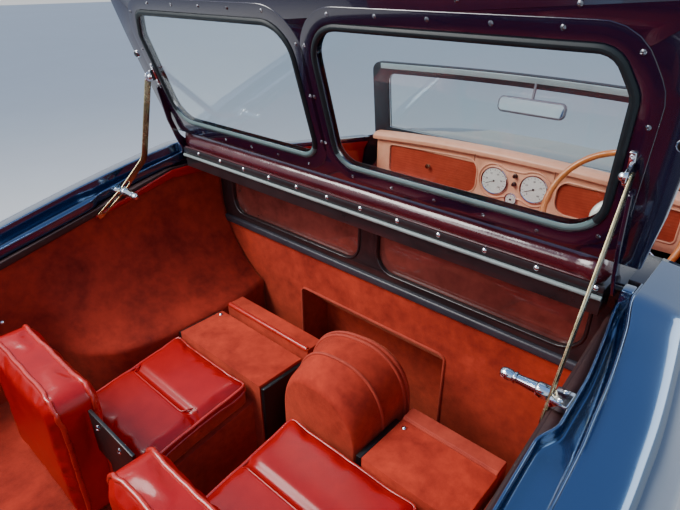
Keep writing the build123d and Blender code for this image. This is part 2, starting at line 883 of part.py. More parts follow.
# Cockpit
def windscreen(scuttle_outer):
    def lean(shape):
        return Pos(0, screen_y, dash_top_z) * Rot(screen_rake, 0, 0) * shape
    height = (screen_top_z - dash_top_z) / math.cos(math.radians(screen_rake))
    depth = screen_depth / 2

    def outline(half, z0, z1, radius):
        # The head is one wide arc, screen_rise high at the middle.
        points = [(-half, 0, z0), (half, 0, z0), (half, 0, z1 - screen_rise), (0, 0, z1),
                  (-half, 0, z1 - screen_rise)]
        line = FilletPolyline(*points, radius=[4, 4, radius, 10000, radius], close=True)
        return make_face(line)

    outer = extrude(Pos(0, -depth, 0) * outline(screen_half, -6, height, 34), amount=2 * depth, dir=(0, 1, 0))
    hole = outline(screen_half - screen_side, 44, height - screen_bar, 30)
    hole = extrude(Pos(0, -depth - 1, 0) * hole, amount=2 * depth + 2, dir=(0, 1, 0))
    pane = outline(screen_half - screen_side - 0.2, 44.2, height - screen_bar - 0.2, 30)
    pane = extrude(Pos(0, -3, 0) * pane, amount=6, dir=(0, 1, 0))
    return lean(outer - hole) - scuttle_outer, lean(pane)


def mirror_unit(frame):
    width = mirror_half_width
    height = mirror_half_height
    face = make_face(FilletPolyline((-width, 0, -height), (width, 0, -height), (width, 0, height),
                                    (-width, 0, height), radius=18, close=True))
    shell = extrude(Pos(0, -mirror_depth / 2, 0) * face, amount=mirror_depth, dir=(0, 1, 0))
    shell = Pos(mirror_x, mirror_y, mirror_z) * Rot(-mirror_tilt, 0, 0) * shell
    stem_top = screen_top_z - screen_bar / 2
    top_y = screen_y - screen_depth / 2 - (screen_top_z - dash_top_z) * math.tan(math.radians(screen_rake))
    stem = rod((mirror_x, mirror_y + 4, mirror_z + 17), (mirror_x, top_y + 4, stem_top), 5)
    return shell + (stem - frame)


# Dials: x, z, radius
dial_table = [(-57, 648, 48), (81, 650, 47), (10, 598, 22)]
dash_knobs = [(14, 680), (14, 652)]
glove_knob = (-320, 641)
glove_corners = [(-500, 580), (-124, 580), (-124, 706), (-500, 690)]
cubby_corners = [(152, 590), (500, 590), (500, 690), (152, 700)]


def dash_recess(corners, radii):
    line = FilletPolyline(*[(x, dash_y - 1, z) for x, z in corners], radius=radii, close=True)
    return extrude(make_face(line), amount=10, dir=(0, 1, 0))


def dash(scuttle_outer):
    half = dash_half
    sides = Polyline((-half, dash_y, dash_top_z), (-half, dash_y, dash_bottom_z), (half, dash_y, dash_bottom_z),
                     (half, dash_y, dash_top_z))
    head = ThreePointArc((half, dash_y, dash_top_z), (0, dash_y, dash_top_z + dash_rise),
                         (-half, dash_y, dash_top_z))
    panel = extrude(make_face(sides + head), amount=dash_thickness, dir=(0, 1, 0))
    panel -= dash_recess(glove_corners, [14, 40, 40, 14])
    panel -= dash_recess(cubby_corners, [40, 14, 14, 40])
    panel -= rod(column_axis(60), column_axis(300), column_radius + 0.5)
    ends = half + 20
    path = ThreePointArc((-ends, dash_y, dash_top_z), (0, dash_y, dash_top_z + dash_rise),
                         (ends, dash_y, dash_top_z))
    deep = screen_y - 26 - dash_y
    pad_outline = [(-12, 0), (-18, 12), (-8, 23), (deep, 30), (deep, 0)]
    at_end = Plane(origin=path @ 0, x_dir=(0, 1, 0), z_dir=path % 0)
    pad = sweep(at_end * make_face(Polyline(*pad_outline, close=True)), path=path)
    pad = pad - scuttle_outer - panel
    rear_edge = scuttle_table[0][0]
    shelf_top = block(-dash_half, dash_half, dash_y, rear_edge, dash_top_z - 8, dash_top_z) - pad
    dials = []
    for x, z, radius in dial_table:
        dials.append(rod((x, dash_y - 7, z), (x, dash_y, z), radius))
    for x, z in dash_knobs:
        dials.append(rod((x, dash_y - 14, z), (x, dash_y, z), 8))
    x, z = glove_knob
    knob = rod((x, dash_y - 12, z), (x, dash_y + 9, z), 9)
    return panel + shelf_top, pad, pieces(*dials, knob)


def column_axis(distance):
    tilt = math.radians(wheel_tilt)
    return (wheel_x, wheel_y + distance * math.cos(tilt), wheel_z - distance * math.sin(tilt))


def steering():
    tilt = math.radians(wheel_tilt)
    axis = Vector(0, math.cos(tilt), -math.sin(tilt))
    plane = Plane(origin=(wheel_x, wheel_y, wheel_z), x_dir=(1, 0, 0), z_dir=axis)
    rim = plane.location * Torus(wheel_radius, wheel_rim)
    hub = rod(column_axis(-16), column_axis(30), hub_radius)
    spokes = Part()
    for turn in spoke_turns:
        for offset in (-9, 0, 9):
            spoke = rod((30, offset, 4), (wheel_radius, offset, 4), 2.6)
            spokes += plane.location * (Rot(0, 0, turn) * spoke)
    wheel = rim + hub + spokes
    start = column_axis(30 + 1)
    end = column_axis((firewall_y - 60 - wheel_y) / math.cos(tilt))
    tube = rod(start, end, column_radius)
    behind = dash_y + dash_thickness
    at_dash = wheel_z - (behind - wheel_y) * math.tan(tilt)
    bracket = block(wheel_x - 24, wheel_x + 24, behind, behind + 14, at_dash - 34, at_dash + 20)
    return wheel, tube + bracket


def bench():
    back = [(250, 396.3), (322, 396.3), (240, 758), (222, 775), (182, 775), (166, 758), (166, 506), (236, 506)]
    cushion_line = [(236 + 8, 250), (236 + 8, 396), (300, 396), (330, 392), (700, 404), (730, 390), (736, 250)]
    base_top = 250
    cushion_shape = prism_x(cushion_line, -bench_half, bench_half)
    base = block(-bench_half + 30, bench_half - 30, 300, 700, body_bottom_z + floor_thickness, base_top)
    return cushion_shape + base, prism_x(back, -bench_half, bench_half)


# Doors
def door_line(y):
    if y == door_rear_y:
        row = side_table[0]
        shoulder = (row[1], 796)
        waist = (row[3], row[4])
        low = (row[5], low_share * row[4])
        sill_x = row[6]
    else:
        row = scuttle_table[0]
        shoulder = (row[2], 700)
        waist = (row[4], row[5])
        low = (row[6], low_share * row[5] + 20)
        sill_x = row[7]
    share = (door_bottom_z - body_bottom_z) / (low[1] - body_bottom_z)
    foot = (sill_x + (low[0] - sill_x) * share, door_bottom_z)
    middle = (shoulder[0] + 0.62 * (waist[0] - shoulder[0]), shoulder[1] - 50)
    return [shoulder, middle, waist, low, foot]


def door_hinge(z, scuttle_outer, door_solid):
    # Fixed knuckles with the pin on the scuttle, and the leaf on the door.
    x = door_hinge_x
    y = door_hinge_y
    lug = rod((x, y, z - 32), (x, y, z + 32), 3.5)
    for z0 in (z - 32, z + 14):
        lug += rod((x, y, z0), (x, y, z0 + 18), 8)
        lug += block(x - 6, x + 6, y + 3, y + 34, z0, z0 + 18)
        lug += block(door_hinge_foot_x, x + 6, y + 24, y + 34, z0, z0 + 18)
    lug += block(door_hinge_foot_x, x + 6, y + 24, y + 34, z - 32, z + 32)
    leaf = rod((x, y, z - 13), (x, y, z + 13), 8)
    leaf += block(x - 6, x + 6, y - 34, y - 3, z - 13, z + 13)
    leaf += block(door_hinge_foot_x, x + 6, y - 34, y - 24, z - 13, z + 13)
    leaf -= rod((x, y, z - 20), (x, y, z + 20), 3.5 + pin_clearance)
    return lug - scuttle_outer, leaf - door_solid


def door():
    shell = []
    trim = []
    for y in (door_rear_y, door_front_y):
        line = door_line(y)
        inner = [(x - door_thickness, z) for x, z in line]
        shell.append((y, line + inner[::-1]))
        card = [(x - door_thickness - 6, z) for x, z in line]
        card[0] = (card[0][0], card[0][1] - 14)
        inner[0] = (inner[0][0], inner[0][1] - 14)
        card[-1] = (card[-1][0], card[-1][1] + 14)
        inner[-1] = (inner[-1][0], inner[-1][1] + 14)
        trim.append((y + (24 if y == door_rear_y else -24), inner + card[::-1]))
    body = loft_y(shell)
    card = loft_y(trim)
    card -= body
    handle_y = door_rear_y + 70
    outer_x = 700
    handle = rod((outer_x + 24, handle_y - 12, 640), (outer_x + 24, handle_y + 104, 640), 7)
    for y in (handle_y, handle_y + 92):
        handle += rod((outer_x - 30, y, 640), (outer_x + 24, y, 640), 6)
    handle -= body
    return body, card, handle


# Tail lamps
def tail_lamp():
    plane = Plane(origin=(330, -1290, 330), z_dir=(0.2, -1, 0.25))
    lamp = Solid.make_cylinder(38, 70, plane)
    return lamp


side, side_outside = side_panel()
arch = arch_liner_panel(side_outside)
left_cover = cover(1, -1)
right_cover = cover(2, 1)
scuttle_outer, scuttle = scuttle_panel()
tail_outer, tail_inner = crown_shell(tail_table, skin, True)
rear_lid, rear_lid_lining, leaves, rear_hinge_y, rear_hinge_z = rear_lid_shapes()
lugs = rear_hinge_lugs(rear_hinge_y, rear_hinge_z)
gutter = gutter_side()
partition_frame, partition_panes = partition()
screen_frame, screen_glass = windscreen(scuttle_outer)
dash_panel, dash_pad, dials = dash(scuttle_outer)
steering_wheel, steering_column = steering()
bench_cushion, bench_back = bench()
door_body, door_card, door_handle = door()
hinges = [door_hinge(z, scuttle_outer, door_body) for z in door_hinge_heights]
hinge_lugs = [lug for lug, leaf in hinges]
door_fittings = pieces(door_handle, *[leaf for lug, leaf in hinges])
tail = tail_panel()
rear_channel = gutter_rear()
lamp = tail_lamp() - tail_outer
clamp = stay_clamp()

save("underframe", underframe())
save("floor_pan", floor_pan())
save("scuttle", scuttle)
save("quarter_right", side)
save("quarter_left", flip(side))
save("wheel_arches", pieces(arch, flip(arch)))
save("tail_panel", tail)
save("tail_lamps", pieces(lamp, flip(lamp)))
save("gutter_right", gutter)
save("gutter_left", flip(gutter))
save("gutter_rear", rear_channel)
save("rear_hinge_lugs", pieces(*[lug - tail - rear_channel for lug in lugs]))
save("deck_rail", deck_rail())
save("trim_roll", trim_roll())
save("stud_strip", stud_strip())
save("seal_bead", seal_bead())
save("partition_frame", partition_frame)
save("partition_panes", partition_panes)
save("bulkhead_lower", bulkhead())
save("arch_cover_left", left_cover)
save("arch_cover_right", right_cover)
save("boot_floor", boot_floor(left_cover, right_cover))
for name, base_x0, base_x1, cushion_x0, cushion_x1 in seat_table:
    front_y = seat_front_y if name == "left" else ledge_front_y
    base = seat_base(base_x0, base_x1, cushion_x0, cushion_x1, front_y)
    if name == "left":
        base = pieces(base, seat_strip(base_x0, base_x1))
    else:
        base += seat_ledge(base_x0, base_x1)
    save(f"seat_base_{name}", base)
    save(f"cushion_{name}", cushion(cushion_x0, cushion_x1))
right_backrest = backrest()
save("backrest_right", right_backrest)
save("backrest_left", flip(right_backrest))
save("hump_cover", hump())
save("seat_ironwork", ironwork())
save("stay_clamps", pieces(clamp, flip(clamp)))
save("windscreen_frame", screen_frame)
save("windscreen_glass", screen_glass)
save("mirror", mirror_unit(screen_frame))
save("dash_panel", dash_panel)
save("dash_pad", dash_pad)
save("dials", dials)
save("steering_column", steering_column)
save("bench_cushion", bench_cushion)
save("bench_back", bench_back)
save("lid_frame", lid_frame())
save("lid_glass", lid_glass())
save("lid_seals", lid_seals())
save("lid_brackets", lid_brackets())
save("stay_right", stay(False))
save("stay_left", flip(stay(True)))
save("rear_lid", rear_lid)
save("rear_lid_lining", rear_lid_lining)
save("rear_lid_leaves", pieces(*leaves))
save("steering_wheel", steering_wheel)
save("door_right", door_body)
save("door_right_trim", door_card)
save("door_right_fittings", door_fittings)
save("door_left", flip(door_body))
save("door_left_trim", flip(door_card))
save("door_left_fittings", flip(door_fittings))
save("door_hinge_lugs", pieces(*hinge_lugs, *[flip(lug) for lug in hinge_lugs]))
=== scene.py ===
import json
import math

import bmesh
import bpy
import numpy as np
from mathutils import Matrix, Vector
from mathutils.bvhtree import BVHTree


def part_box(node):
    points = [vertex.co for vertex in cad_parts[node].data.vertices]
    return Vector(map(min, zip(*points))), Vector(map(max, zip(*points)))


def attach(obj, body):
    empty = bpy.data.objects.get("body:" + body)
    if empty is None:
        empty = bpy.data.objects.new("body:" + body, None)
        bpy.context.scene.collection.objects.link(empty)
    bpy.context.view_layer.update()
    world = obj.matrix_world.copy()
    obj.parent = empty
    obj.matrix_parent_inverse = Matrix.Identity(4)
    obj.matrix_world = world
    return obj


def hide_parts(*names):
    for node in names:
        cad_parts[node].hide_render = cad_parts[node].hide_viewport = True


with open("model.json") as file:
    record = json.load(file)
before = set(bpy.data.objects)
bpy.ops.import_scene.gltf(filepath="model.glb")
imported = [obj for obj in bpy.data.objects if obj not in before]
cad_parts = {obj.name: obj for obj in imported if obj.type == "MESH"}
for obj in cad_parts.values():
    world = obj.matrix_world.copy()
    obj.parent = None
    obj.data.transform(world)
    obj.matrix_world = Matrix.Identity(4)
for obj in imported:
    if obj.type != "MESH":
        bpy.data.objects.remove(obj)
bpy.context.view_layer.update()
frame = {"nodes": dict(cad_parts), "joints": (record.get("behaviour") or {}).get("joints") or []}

# Open body tub of a two-seat roadster with its dickey seat open. Metres: X right, Y forward, Z up.
nodes = frame["nodes"]
scene = bpy.context.scene
mm = 0.001


# Meshes from arrays
def linked(name, data):
    piece = bpy.data.objects.new(name, data)
    scene.collection.objects.link(piece)
    return piece


def pointsOf(piece):
    points = np.zeros(len(piece.data.vertices) * 3)
    piece.data.vertices.foreach_get("co", points)
    return points.reshape(-1, 3)


def setPoints(piece, points):
    piece.data.vertices.foreach_set("co", np.ascontiguousarray(points, dtype=np.float32).ravel())
    piece.data.update()


def evaluatedMesh(drawn):
    # The mesh of a curve or a text, or of a piece with its modifiers applied.
    bpy.context.view_layer.update()
    return bpy.data.meshes.new_from_object(drawn.evaluated_get(bpy.context.evaluated_depsgraph_get()))


def easeEdges(piece, width, segments=2, angle=40):
    eased = piece.modifiers.new("edge", "BEVEL")
    eased.width = width
    eased.segments = segments
    eased.limit_method = "ANGLE"
    eased.angle_limit = math.radians(angle)


def curveMesh(name, curve):
    drawn = linked(name, curve)
    mesh = evaluatedMesh(drawn)
    bpy.data.objects.remove(drawn)
    return mesh


def onlyMaterial(mesh, material):
    mesh.materials.clear()
    mesh.materials.append(material)


def unit(vectors):
    return vectors / np.linalg.norm(vectors, axis=-1, keepdims=True)


def shade(piece, angle=38):
    mesh = piece.data
    mesh.polygons.foreach_set("use_smooth", np.ones(len(mesh.polygons), bool))
    mesh.set_sharp_from_angle(angle=math.radians(angle))


def addMesh(name, points, faces, material):
    mesh = bpy.data.meshes.new(name)
    mesh.from_pydata(np.reshape(points, (-1, 3)).tolist(), [], faces)
    mesh.materials.append(material)
    return linked(name, mesh)


def faceOut(piece, angle=38, closed=True):
    # Doubles are merged; a closed shape then gets its normals outwards.
    work = bmesh.new()
    work.from_mesh(piece.data)
    bmesh.ops.remove_doubles(work, verts=work.verts, dist=1e-6)
    if closed:
        bmesh.ops.recalc_face_normals(work, faces=work.faces)
    work.to_mesh(piece.data)
    work.free()
    shade(piece, angle)
    return piece


def gridFaces(rows, columns, closedRows=False, closedColumns=False):
    i = np.arange(rows if closedRows else rows - 1)[:, None]
    j = np.arange(columns if closedColumns else columns - 1)[None, :]
    down = (i + 1) % rows
    right = (j + 1) % columns
    quads = np.stack([i * columns + j, i * columns + right, down * columns + right, down * columns + j], -1)
    return quads.reshape(-1, 4).tolist()


def loftFaces(rows, columns, closedPath=False):
    # Quads round a closed section, with a cap at each open end.
    faces = gridFaces(rows, columns, closedPath, True)
    if not closedPath:
        faces += [list(range(columns)), list(range((rows - 1) * columns, rows * columns))]
    return faces


def loftMesh(name, grid, material, closedPath=False, angle=38):
    # A closed section carried along a path: grid is (stations, section points, xyz).
    return faceOut(addMesh(name, grid, loftFaces(*grid.shape[:2], closedPath), material), angle)


def sheetMesh(name, grid, material, towards, thickness):
    # An open surface: its faces are turned so that most look along towards, then it gets its wall.
    piece = faceOut(addMesh(name, grid, gridFaces(*grid.shape[:2]), material), 60, False)
    normals = np.zeros(len(piece.data.polygons) * 3)
    piece.data.polygons.foreach_get("normal", normals)
    if (normals.reshape(-1, 3) @ np.array(towards, float)).sum() < 0:
        piece.data.flip_normals()
    wall = piece.modifiers.new("wall", "SOLIDIFY")
    wall.thickness = thickness
    wall.offset = -1
    return piece


def rounded(corners, radii, steps=5, closed=True):
    # Arcs tangent to both runs at each corner, as rational quadratic curves; corners are (..., count, 2).
    corners = np.asarray(corners, float)
    radii = np.broadcast_to(np.asarray(radii, float), corners.shape[:-1])[..., None]
    before = np.roll(corners, 1, -2) - corners
    after = np.roll(corners, -1, -2) - corners
    lengthBefore = np.linalg.norm(before, axis=-1, keepdims=True)
    lengthAfter = np.linalg.norm(after, axis=-1, keepdims=True)
    before, after = before / lengthBefore, after / lengthAfter
    half = np.arccos(np.clip((before * after).sum(-1, keepdims=True), -1, 1)) / 2
    reach = np.minimum(radii / np.tan(half), 0.49 * np.minimum(lengthBefore, lengthAfter))
    if not closed:
        reach[..., [0, -1], :] = 0
    start = (corners + before * reach)[..., None, :]
    end = (corners + after * reach)[..., None, :]
    t = np.linspace(0, 1, steps)[:, None]
    weight = np.sin(half)[..., None, :] * 2 * t * (1 - t)
    points = (1 - t) ** 2 * start + weight * corners[..., None, :] + t ** 2 * end
    points = points / ((1 - t) ** 2 + weight + t ** 2)
    return points.reshape(*corners.shape[:-2], -1, 2)


def rectangle(x0, y0, x1, y1, radii, steps=5):
    return rounded([(x0, y0), (x1, y0), (x1, y1), (x0, y1)], radii, steps)


def evenly(path, count, closed=False):
    # The same line with its points at equal spacing.
    path = np.asarray(path, float)
    if closed:
        path = np.vstack([path, path[:1]])
    along = np.concatenate([[0], np.cumsum(np.linalg.norm(np.diff(path, axis=0), axis=1))])
    at = np.linspace(0, along[-1], count + 1 if closed else count)
    at = at[:-1] if closed else at
    return np.stack([np.interp(at, along, path[:, k]) for k in range(path.shape[1])], 1)


def smoothTable(table, at):
    # Monotone cubic curves through each column of a table, over its first column.
    table = np.asarray(table, float)
    table = table[np.argsort(table[:, 0])]
    x, y = table[:, 0], table[:, 1:]
    h = np.diff(x)[:, None]
    d = np.diff(y, axis=0) / h
    slope = np.zeros_like(y)
    slope[0], slope[-1] = d[0], d[-1]
    left, right = 2 * h[1:] + h[:-1], h[1:] + 2 * h[:-1]
    same = d[:-1] * d[1:] > 0
    low, high = np.where(same, d[:-1], 1), np.where(same, d[1:], 1)
    slope[1:-1] = np.where(same, (left + right) / (left / low + right / high), 0)
    at = np.clip(np.asarray(at, float), x[0], x[-1])
    i = np.clip(np.searchsorted(x, at) - 1, 0, len(x) - 2)
    t = ((at - x[i]) / h[i, 0])[:, None]
    a, b = (1 + 2 * t) * (1 - t) ** 2, t ** 2 * (3 - 2 * t)
    return a * y[i] + b * y[i + 1] + h[i] * (t * (1 - t) ** 2 * slope[i] - t ** 2 * (1 - t) * slope[i + 1])


def alongPath(path, profile, up=(0, 0, 1), closed=False):
    # A flat profile (side, top) set square to a path, its top towards up.
    path, profile = np.asarray(path, float), np.asarray(profile, float)
    ahead = unit(np.roll(path, -1, 0) - np.roll(path, 1, 0) if closed else np.gradient(path, axis=0))
    side = unit(np.cross(ahead, np.broadcast_to(up, path.shape)))
    top = np.cross(side, ahead)
    return path[:, None] + side[:, None] * profile[..., :1] + top[:, None] * profile[..., 1:]


def fullTurn(count):
    return np.linspace(0, 2 * math.pi, count, endpoint=False)


def tube(name, path, radius, material, up=(0, 0, 1), closed=False, sides=12):
    turn = fullTurn(sides)
    section = np.stack([np.cos(turn), np.sin(turn)], 1) * radius
    return loftMesh(name, alongPath(path, section, up, closed), material, closed)


def atY(path, y):
    # A path of (x, z) stood upright at one y.
    return np.stack([path[:, 0], np.full(len(path), y), path[:, 1]], 1)


def acrossX(start, end, count, y, z):
    # A straight line in X at one y and z.
    return np.stack([np.linspace(start, end, count), np.full(count, y), np.full(count, z)], 1)


def latheGrid(profile, centre, axis, sides):
    # A profile of (distance along the axis, radius) turned about the axis.
    profile = np.array(profile, float)
    axis = Vector(axis).normalized()
    across = axis.orthogonal().normalized()
    other = axis.cross(across)
    turn = fullTurn(sides)[None, :, None]
    wheel = np.cos(turn) * np.array(across) + np.sin(turn) * np.array(other)
    return np.array(centre) + profile[:, :1, None] * np.array(axis) + profile[:, 1:, None] * wheel


def lathe(name, profile, centre, axis, material, sides):
    return loftMesh(name, latheGrid(profile, centre, axis, sides), material)


def turnedRing(name, profile, centre, axis, material, sides):
    # A closed profile clear of the axis, turned about it.
    return loftMesh(name, latheGrid(profile, centre, axis, sides).transpose(1, 0, 2), material, True)


def copies(name, grid, places, material):
    # One small closed lofted shape repeated at many places, as one mesh; places are 4 by 4 matrices.
    rows, columns = grid.shape[:2]
    flat = np.concatenate([grid.reshape(-1, 3), np.ones((rows * columns, 1))], 1)
    points = np.einsum("nij,kj->nki", np.array(places), flat)[..., :3]
    faces = loftFaces(rows, columns)
    many = [[v + k * rows * columns for v in face] for k in range(len(points)) for face in faces]
    return faceOut(addMesh(name, points, many, material))


def roundedBox(name, low, high, radius, material):
    low, high = np.array(low, float), np.array(high, float)
    work = bmesh.new()
    bmesh.ops.create_cube(work, size=1)
    for vertex in work.verts:
        vertex.co = Vector((low + high) / 2 + np.array(vertex.co) * (high - low))
    bmesh.ops.bevel(work, geom=work.edges[:], offset=radius, segments=3, profile=0.5, affect="EDGES")
    mesh = bpy.data.meshes.new(name)
    work.to_mesh(mesh)
    work.free()
    mesh.materials.append(material)
    piece = linked(name, mesh)
    shade(piece, 50)
    return piece


def plateMesh(name, outline, thickness, material, place, edge):
    # A flat outline given a thickness both ways, then set in its place, with its edges eased.
    outline = np.asarray(outline, float)
    count = len(outline)
    flat = np.concatenate([outline, np.full((count, 1), -thickness / 2)], 1)
    raised = np.concatenate([outline, np.full((count, 1), thickness / 2)], 1)
    points = np.concatenate([flat, raised])
    faces = [list(range(count))[::-1], list(range(count, 2 * count))]
    faces += [[k, (k + 1) % count, (k + 1) % count + count, k + count] for k in range(count)]
    piece = addMesh(name, points, faces, material)
    piece.data.transform(place)
    faceOut(piece)
    if edge:
        easeEdges(piece, edge)
    return piece


def mirrored(piece, name):
    other = piece.copy()
    other.data = piece.data.copy()
    other.name = other.data.name = name
    scene.collection.objects.link(other)
    setPoints(other, pointsOf(other) * [-1, 1, 1])
    other.data.flip_normals()
    return other


def settle(piece, slotName, *stoodFor, body="tub"):
    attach(piece, body)
    if stoodFor:
        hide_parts(*stoodFor)
    return piece


def bothSides(piece, slotName, *stoodFor, body="tub"):
    # The right-hand piece and its mirror image; a star in body and in stoodFor is the side.
    other = mirrored(piece, piece.name.replace(".right", ".left"))
    for each, side in ((piece, "right"), (other, "left")):
        settle(each, slotName, *[node.replace("*", side) for node in stoodFor], body=body.replace("*", side))


# Materials: shared effects are groups that give out colours, masks and heights only
def newGroup(name, inputs, outputs):
    tree = bpy.data.node_groups.new(name, "ShaderNodeTree")
    for label, kind, value in inputs:
        socket = tree.interface.new_socket(label, in_out="INPUT", socket_type=kind)
        if value is not None:
            socket.default_value = value
    for label, kind in outputs:
        tree.interface.new_socket(label, in_out="OUTPUT", socket_type=kind)
    return tree, tree.nodes.new("NodeGroupInput"), tree.nodes.new("NodeGroupOutput")


def put(tree, kind, settings=None, **links):
    # A shader node with its settings; links are named by the input socket, or _ and its number.
    node = tree.nodes.new("ShaderNode" + kind)
    for label, value in (settings or {}).items():
        if label in node.inputs.keys():
            node.inputs[label].default_value = value
        else:
            setattr(node, label, value)
    for label, source in links.items():
        tree.links.new(source, node.inputs[int(label[1:])] if label[1:].isdigit() else node.inputs[label])
    return node


floatSocket, colourSocket, vectorSocket = "NodeSocketFloat", "NodeSocketColor", "NodeSocketVector"


def reckon(tree, operation, source, value, clamp=False):
    # A sum or product of a socket and a fixed value.
    node = put(tree, "Math", {"operation": operation, "use_clamp": clamp}, _0=source)
    node.inputs[1].default_value = value
    return node.outputs[0]


def between(tree, first, second, share):
    node = put(tree, "Mix", {"data_type": "FLOAT"}, _2=first, _3=second)
    node.inputs[0].default_value = share
    return node.outputs[0]


def patchGroup():
    # Two sizes of cloudy patches between a dark and a light colour.
    tree, given, out = newGroup(
        "patches",
        [("Vector", vectorSocket, None), ("Scale", floatSocket, 8.0), ("Contrast", floatSocket, 0.5),
         ("Dark", colourSocket, (0, 0, 0, 1)), ("Light", colourSocket, (1, 1, 1, 1))],
        [("Colour", colourSocket), ("Mask", floatSocket)])
    large = put(tree, "TexNoise", {"Detail": 5.0, "Roughness": 0.6, "Distortion": 0.6},
                Vector=given.outputs["Vector"], Scale=given.outputs["Scale"])
    small = put(tree, "TexNoise", {"Detail": 4.0, "Roughness": 0.6}, Vector=given.outputs["Vector"],
                Scale=reckon(tree, "MULTIPLY", given.outputs["Scale"], 6.3))
    both = between(tree, large.outputs[0], small.outputs[0], 0.35)
    spread = reckon(tree, "SUBTRACT", both, 0.5)
    gain = put(tree, "Math", {"operation": "MULTIPLY"}, _0=spread, _1=given.outputs["Contrast"])
    mask = reckon(tree, "ADD", gain.outputs[0], 0.5, True)
    colour = put(tree, "Mix", {"data_type": "RGBA"}, _0=mask,
                 _6=given.outputs["Dark"], _7=given.outputs["Light"])
    tree.links.new(colour.outputs[2], out.inputs["Colour"])
    tree.links.new(mask, out.inputs["Mask"])
    return tree


def heightGroup(name, scale, draw):
    # A group from Vector and Scale to Height; draw gives the height's socket.
    tree, given, out = newGroup(name, [("Vector", vectorSocket, None), ("Scale", floatSocket, scale)],
                                [("Height", floatSocket)])
    tree.links.new(draw(tree, given.outputs["Vector"], given.outputs["Scale"]), out.inputs["Height"])
    return tree


def drawNap(tree, vector, scale):
    # Short brushed pile: fine noise with streaks drawn out one way.
    fine = put(tree, "TexNoise", {"Detail": 3.0, "Roughness": 0.7}, Vector=vector, Scale=scale)
    stretch = put(tree, "Mapping", {"Scale": (1.0, 0.25, 0.6)}, Vector=vector)
    streak = put(tree, "TexNoise", {"Detail": 4.0, "Roughness": 0.6},
                 Vector=stretch.outputs[0], Scale=reckon(tree, "MULTIPLY", scale, 0.22))
    return between(tree, fine.outputs[0], streak.outputs[0], 0.5)


def drawHide(tree, vector, scale):
    # Leather: cells of grain with soft creases laid over them.
    cells = put(tree, "TexVoronoi", {"feature": "SMOOTH_F1", "Smoothness": 0.6}, Vector=vector, Scale=scale)
    crease = put(tree, "TexNoise", {"Detail": 3.0, "Roughness": 0.5, "Distortion": 1.4},
                 Vector=vector, Scale=reckon(tree, "MULTIPLY", scale, 0.035))
    return between(tree, cells.outputs[0], crease.outputs[0], 0.6)


def drawBrushed(tree, vector, scale):
    # Fine lines and small pits, as on polished plate that has been handled.
    stretch = put(tree, "Mapping", {"Scale": (6.0, 1.0, 1.0)}, Vector=vector)
    return put(tree, "TexNoise", {"Detail": 4.0, "Roughness": 0.65},
               Vector=stretch.outputs[0], Scale=scale).outputs[0]


def drawWood(tree, vector, scale):
    # Growth lines drawn out along the car's width.
    stretch = put(tree, "Mapping", {"Scale": (0.12, 1.0, 1.0)}, Vector=vector)
    waves = {"Distortion": 7.0, "Detail": 3.0, "Detail Scale": 1.4, "bands_direction": "Z"}
    return put(tree, "TexWave", waves, Vector=stretch.outputs[0], Scale=scale).outputs["Fac"]


patches = patchGroup()
reliefs = {"nap": heightGroup("nap", 900.0, drawNap), "hide": heightGroup("hide", 420.0, drawHide),
           "brushed": heightGroup("brushed", 300.0, drawBrushed),
           "wood": heightGroup("woodGrain", 40.0, drawWood)}


def linear(red, green, blue):
    # A colour written as 0 to 255 on the screen, as the linear value a shader needs.
    screen = np.array([red, green, blue]) / 255
    value = np.where(screen <= 0.04045, screen / 12.92, ((screen + 0.055) / 1.055) ** 2.4)
    return (*value.tolist(), 1.0)


def newMaterial(name):
    material = bpy.data.materials.new(name)
    material.use_nodes = True
    tree = material.node_tree
    return material, tree, tree.nodes["Principled BSDF"], put(tree, "TexCoord").outputs["Object"]


def placed(tree, group, vector, values):
    node = tree.nodes.new("ShaderNodeGroup")
    node.node_tree = group
    tree.links.new(vector, node.inputs["Vector"])
    for label, value in values.items():
        node.inputs[label].default_value = value
    return node


# The shader's socket and usual value for each further word of a finish
shaderValues = {"metal": ("Metallic", 0.0), "coat": ("Coat Weight", 0.0),
                "coatRough": ("Coat Roughness", 0.04), "coatIor": ("Coat IOR", 1.5), "ior": ("IOR", 1.5),
                "sheen": ("Sheen Weight", 0.0), "sheenRough": ("Sheen Roughness", 0.4),
                "specular": ("Specular IOR Level", 0.5)}
shaderTints = {"sheenTint": "Sheen Tint", "specularTint": "Specular Tint"}


def finish(name, dark, light, patch, rough, relief=None, contrast=1.6, vein=None, veinShare=0.6, **more):
    # Patches between two colours, roughness low and high; relief is kind, scale, depth and strength.
    material, tree, shader, vector = newMaterial(name)
    cloud = placed(tree, patches, vector, {"Scale": patch, "Contrast": contrast, "Dark": linear(*dark),
                                           "Light": linear(*light)})
    colour = cloud.outputs["Colour"]
    if relief:
        kind, scale, depth, strength = relief
        height = placed(tree, reliefs[kind], vector, {"Scale": scale}).outputs["Height"]
        bump = put(tree, "Bump", {"Strength": strength, "Distance": depth}, Height=height)
        tree.links.new(bump.outputs[0], shader.inputs["Normal"])
        if vein:
            spans = {"From Min": 0.35, "From Max": 0.75, "To Min": 0.0, "To Max": veinShare}
            share = put(tree, "MapRange", spans, Value=height)
            tint = put(tree, "Mix", {"data_type": "RGBA"}, _0=share.outputs[0], _6=colour)
            tint.inputs[7].default_value = linear(*vein)
            colour = tint.outputs[2]
    tree.links.new(colour, shader.inputs["Base Color"])
    spread = put(tree, "MapRange", {"To Min": rough[0], "To Max": rough[1]}, Value=cloud.outputs["Mask"])
    tree.links.new(spread.outputs[0], shader.inputs["Roughness"])
    for word, (label, usual) in shaderValues.items():
        shader.inputs[label].default_value = more.get(word, usual)
    for word, label in shaderTints.items():
        shader.inputs[label].default_value = linear(*more.get(word, (255, 255, 255)))
    return material


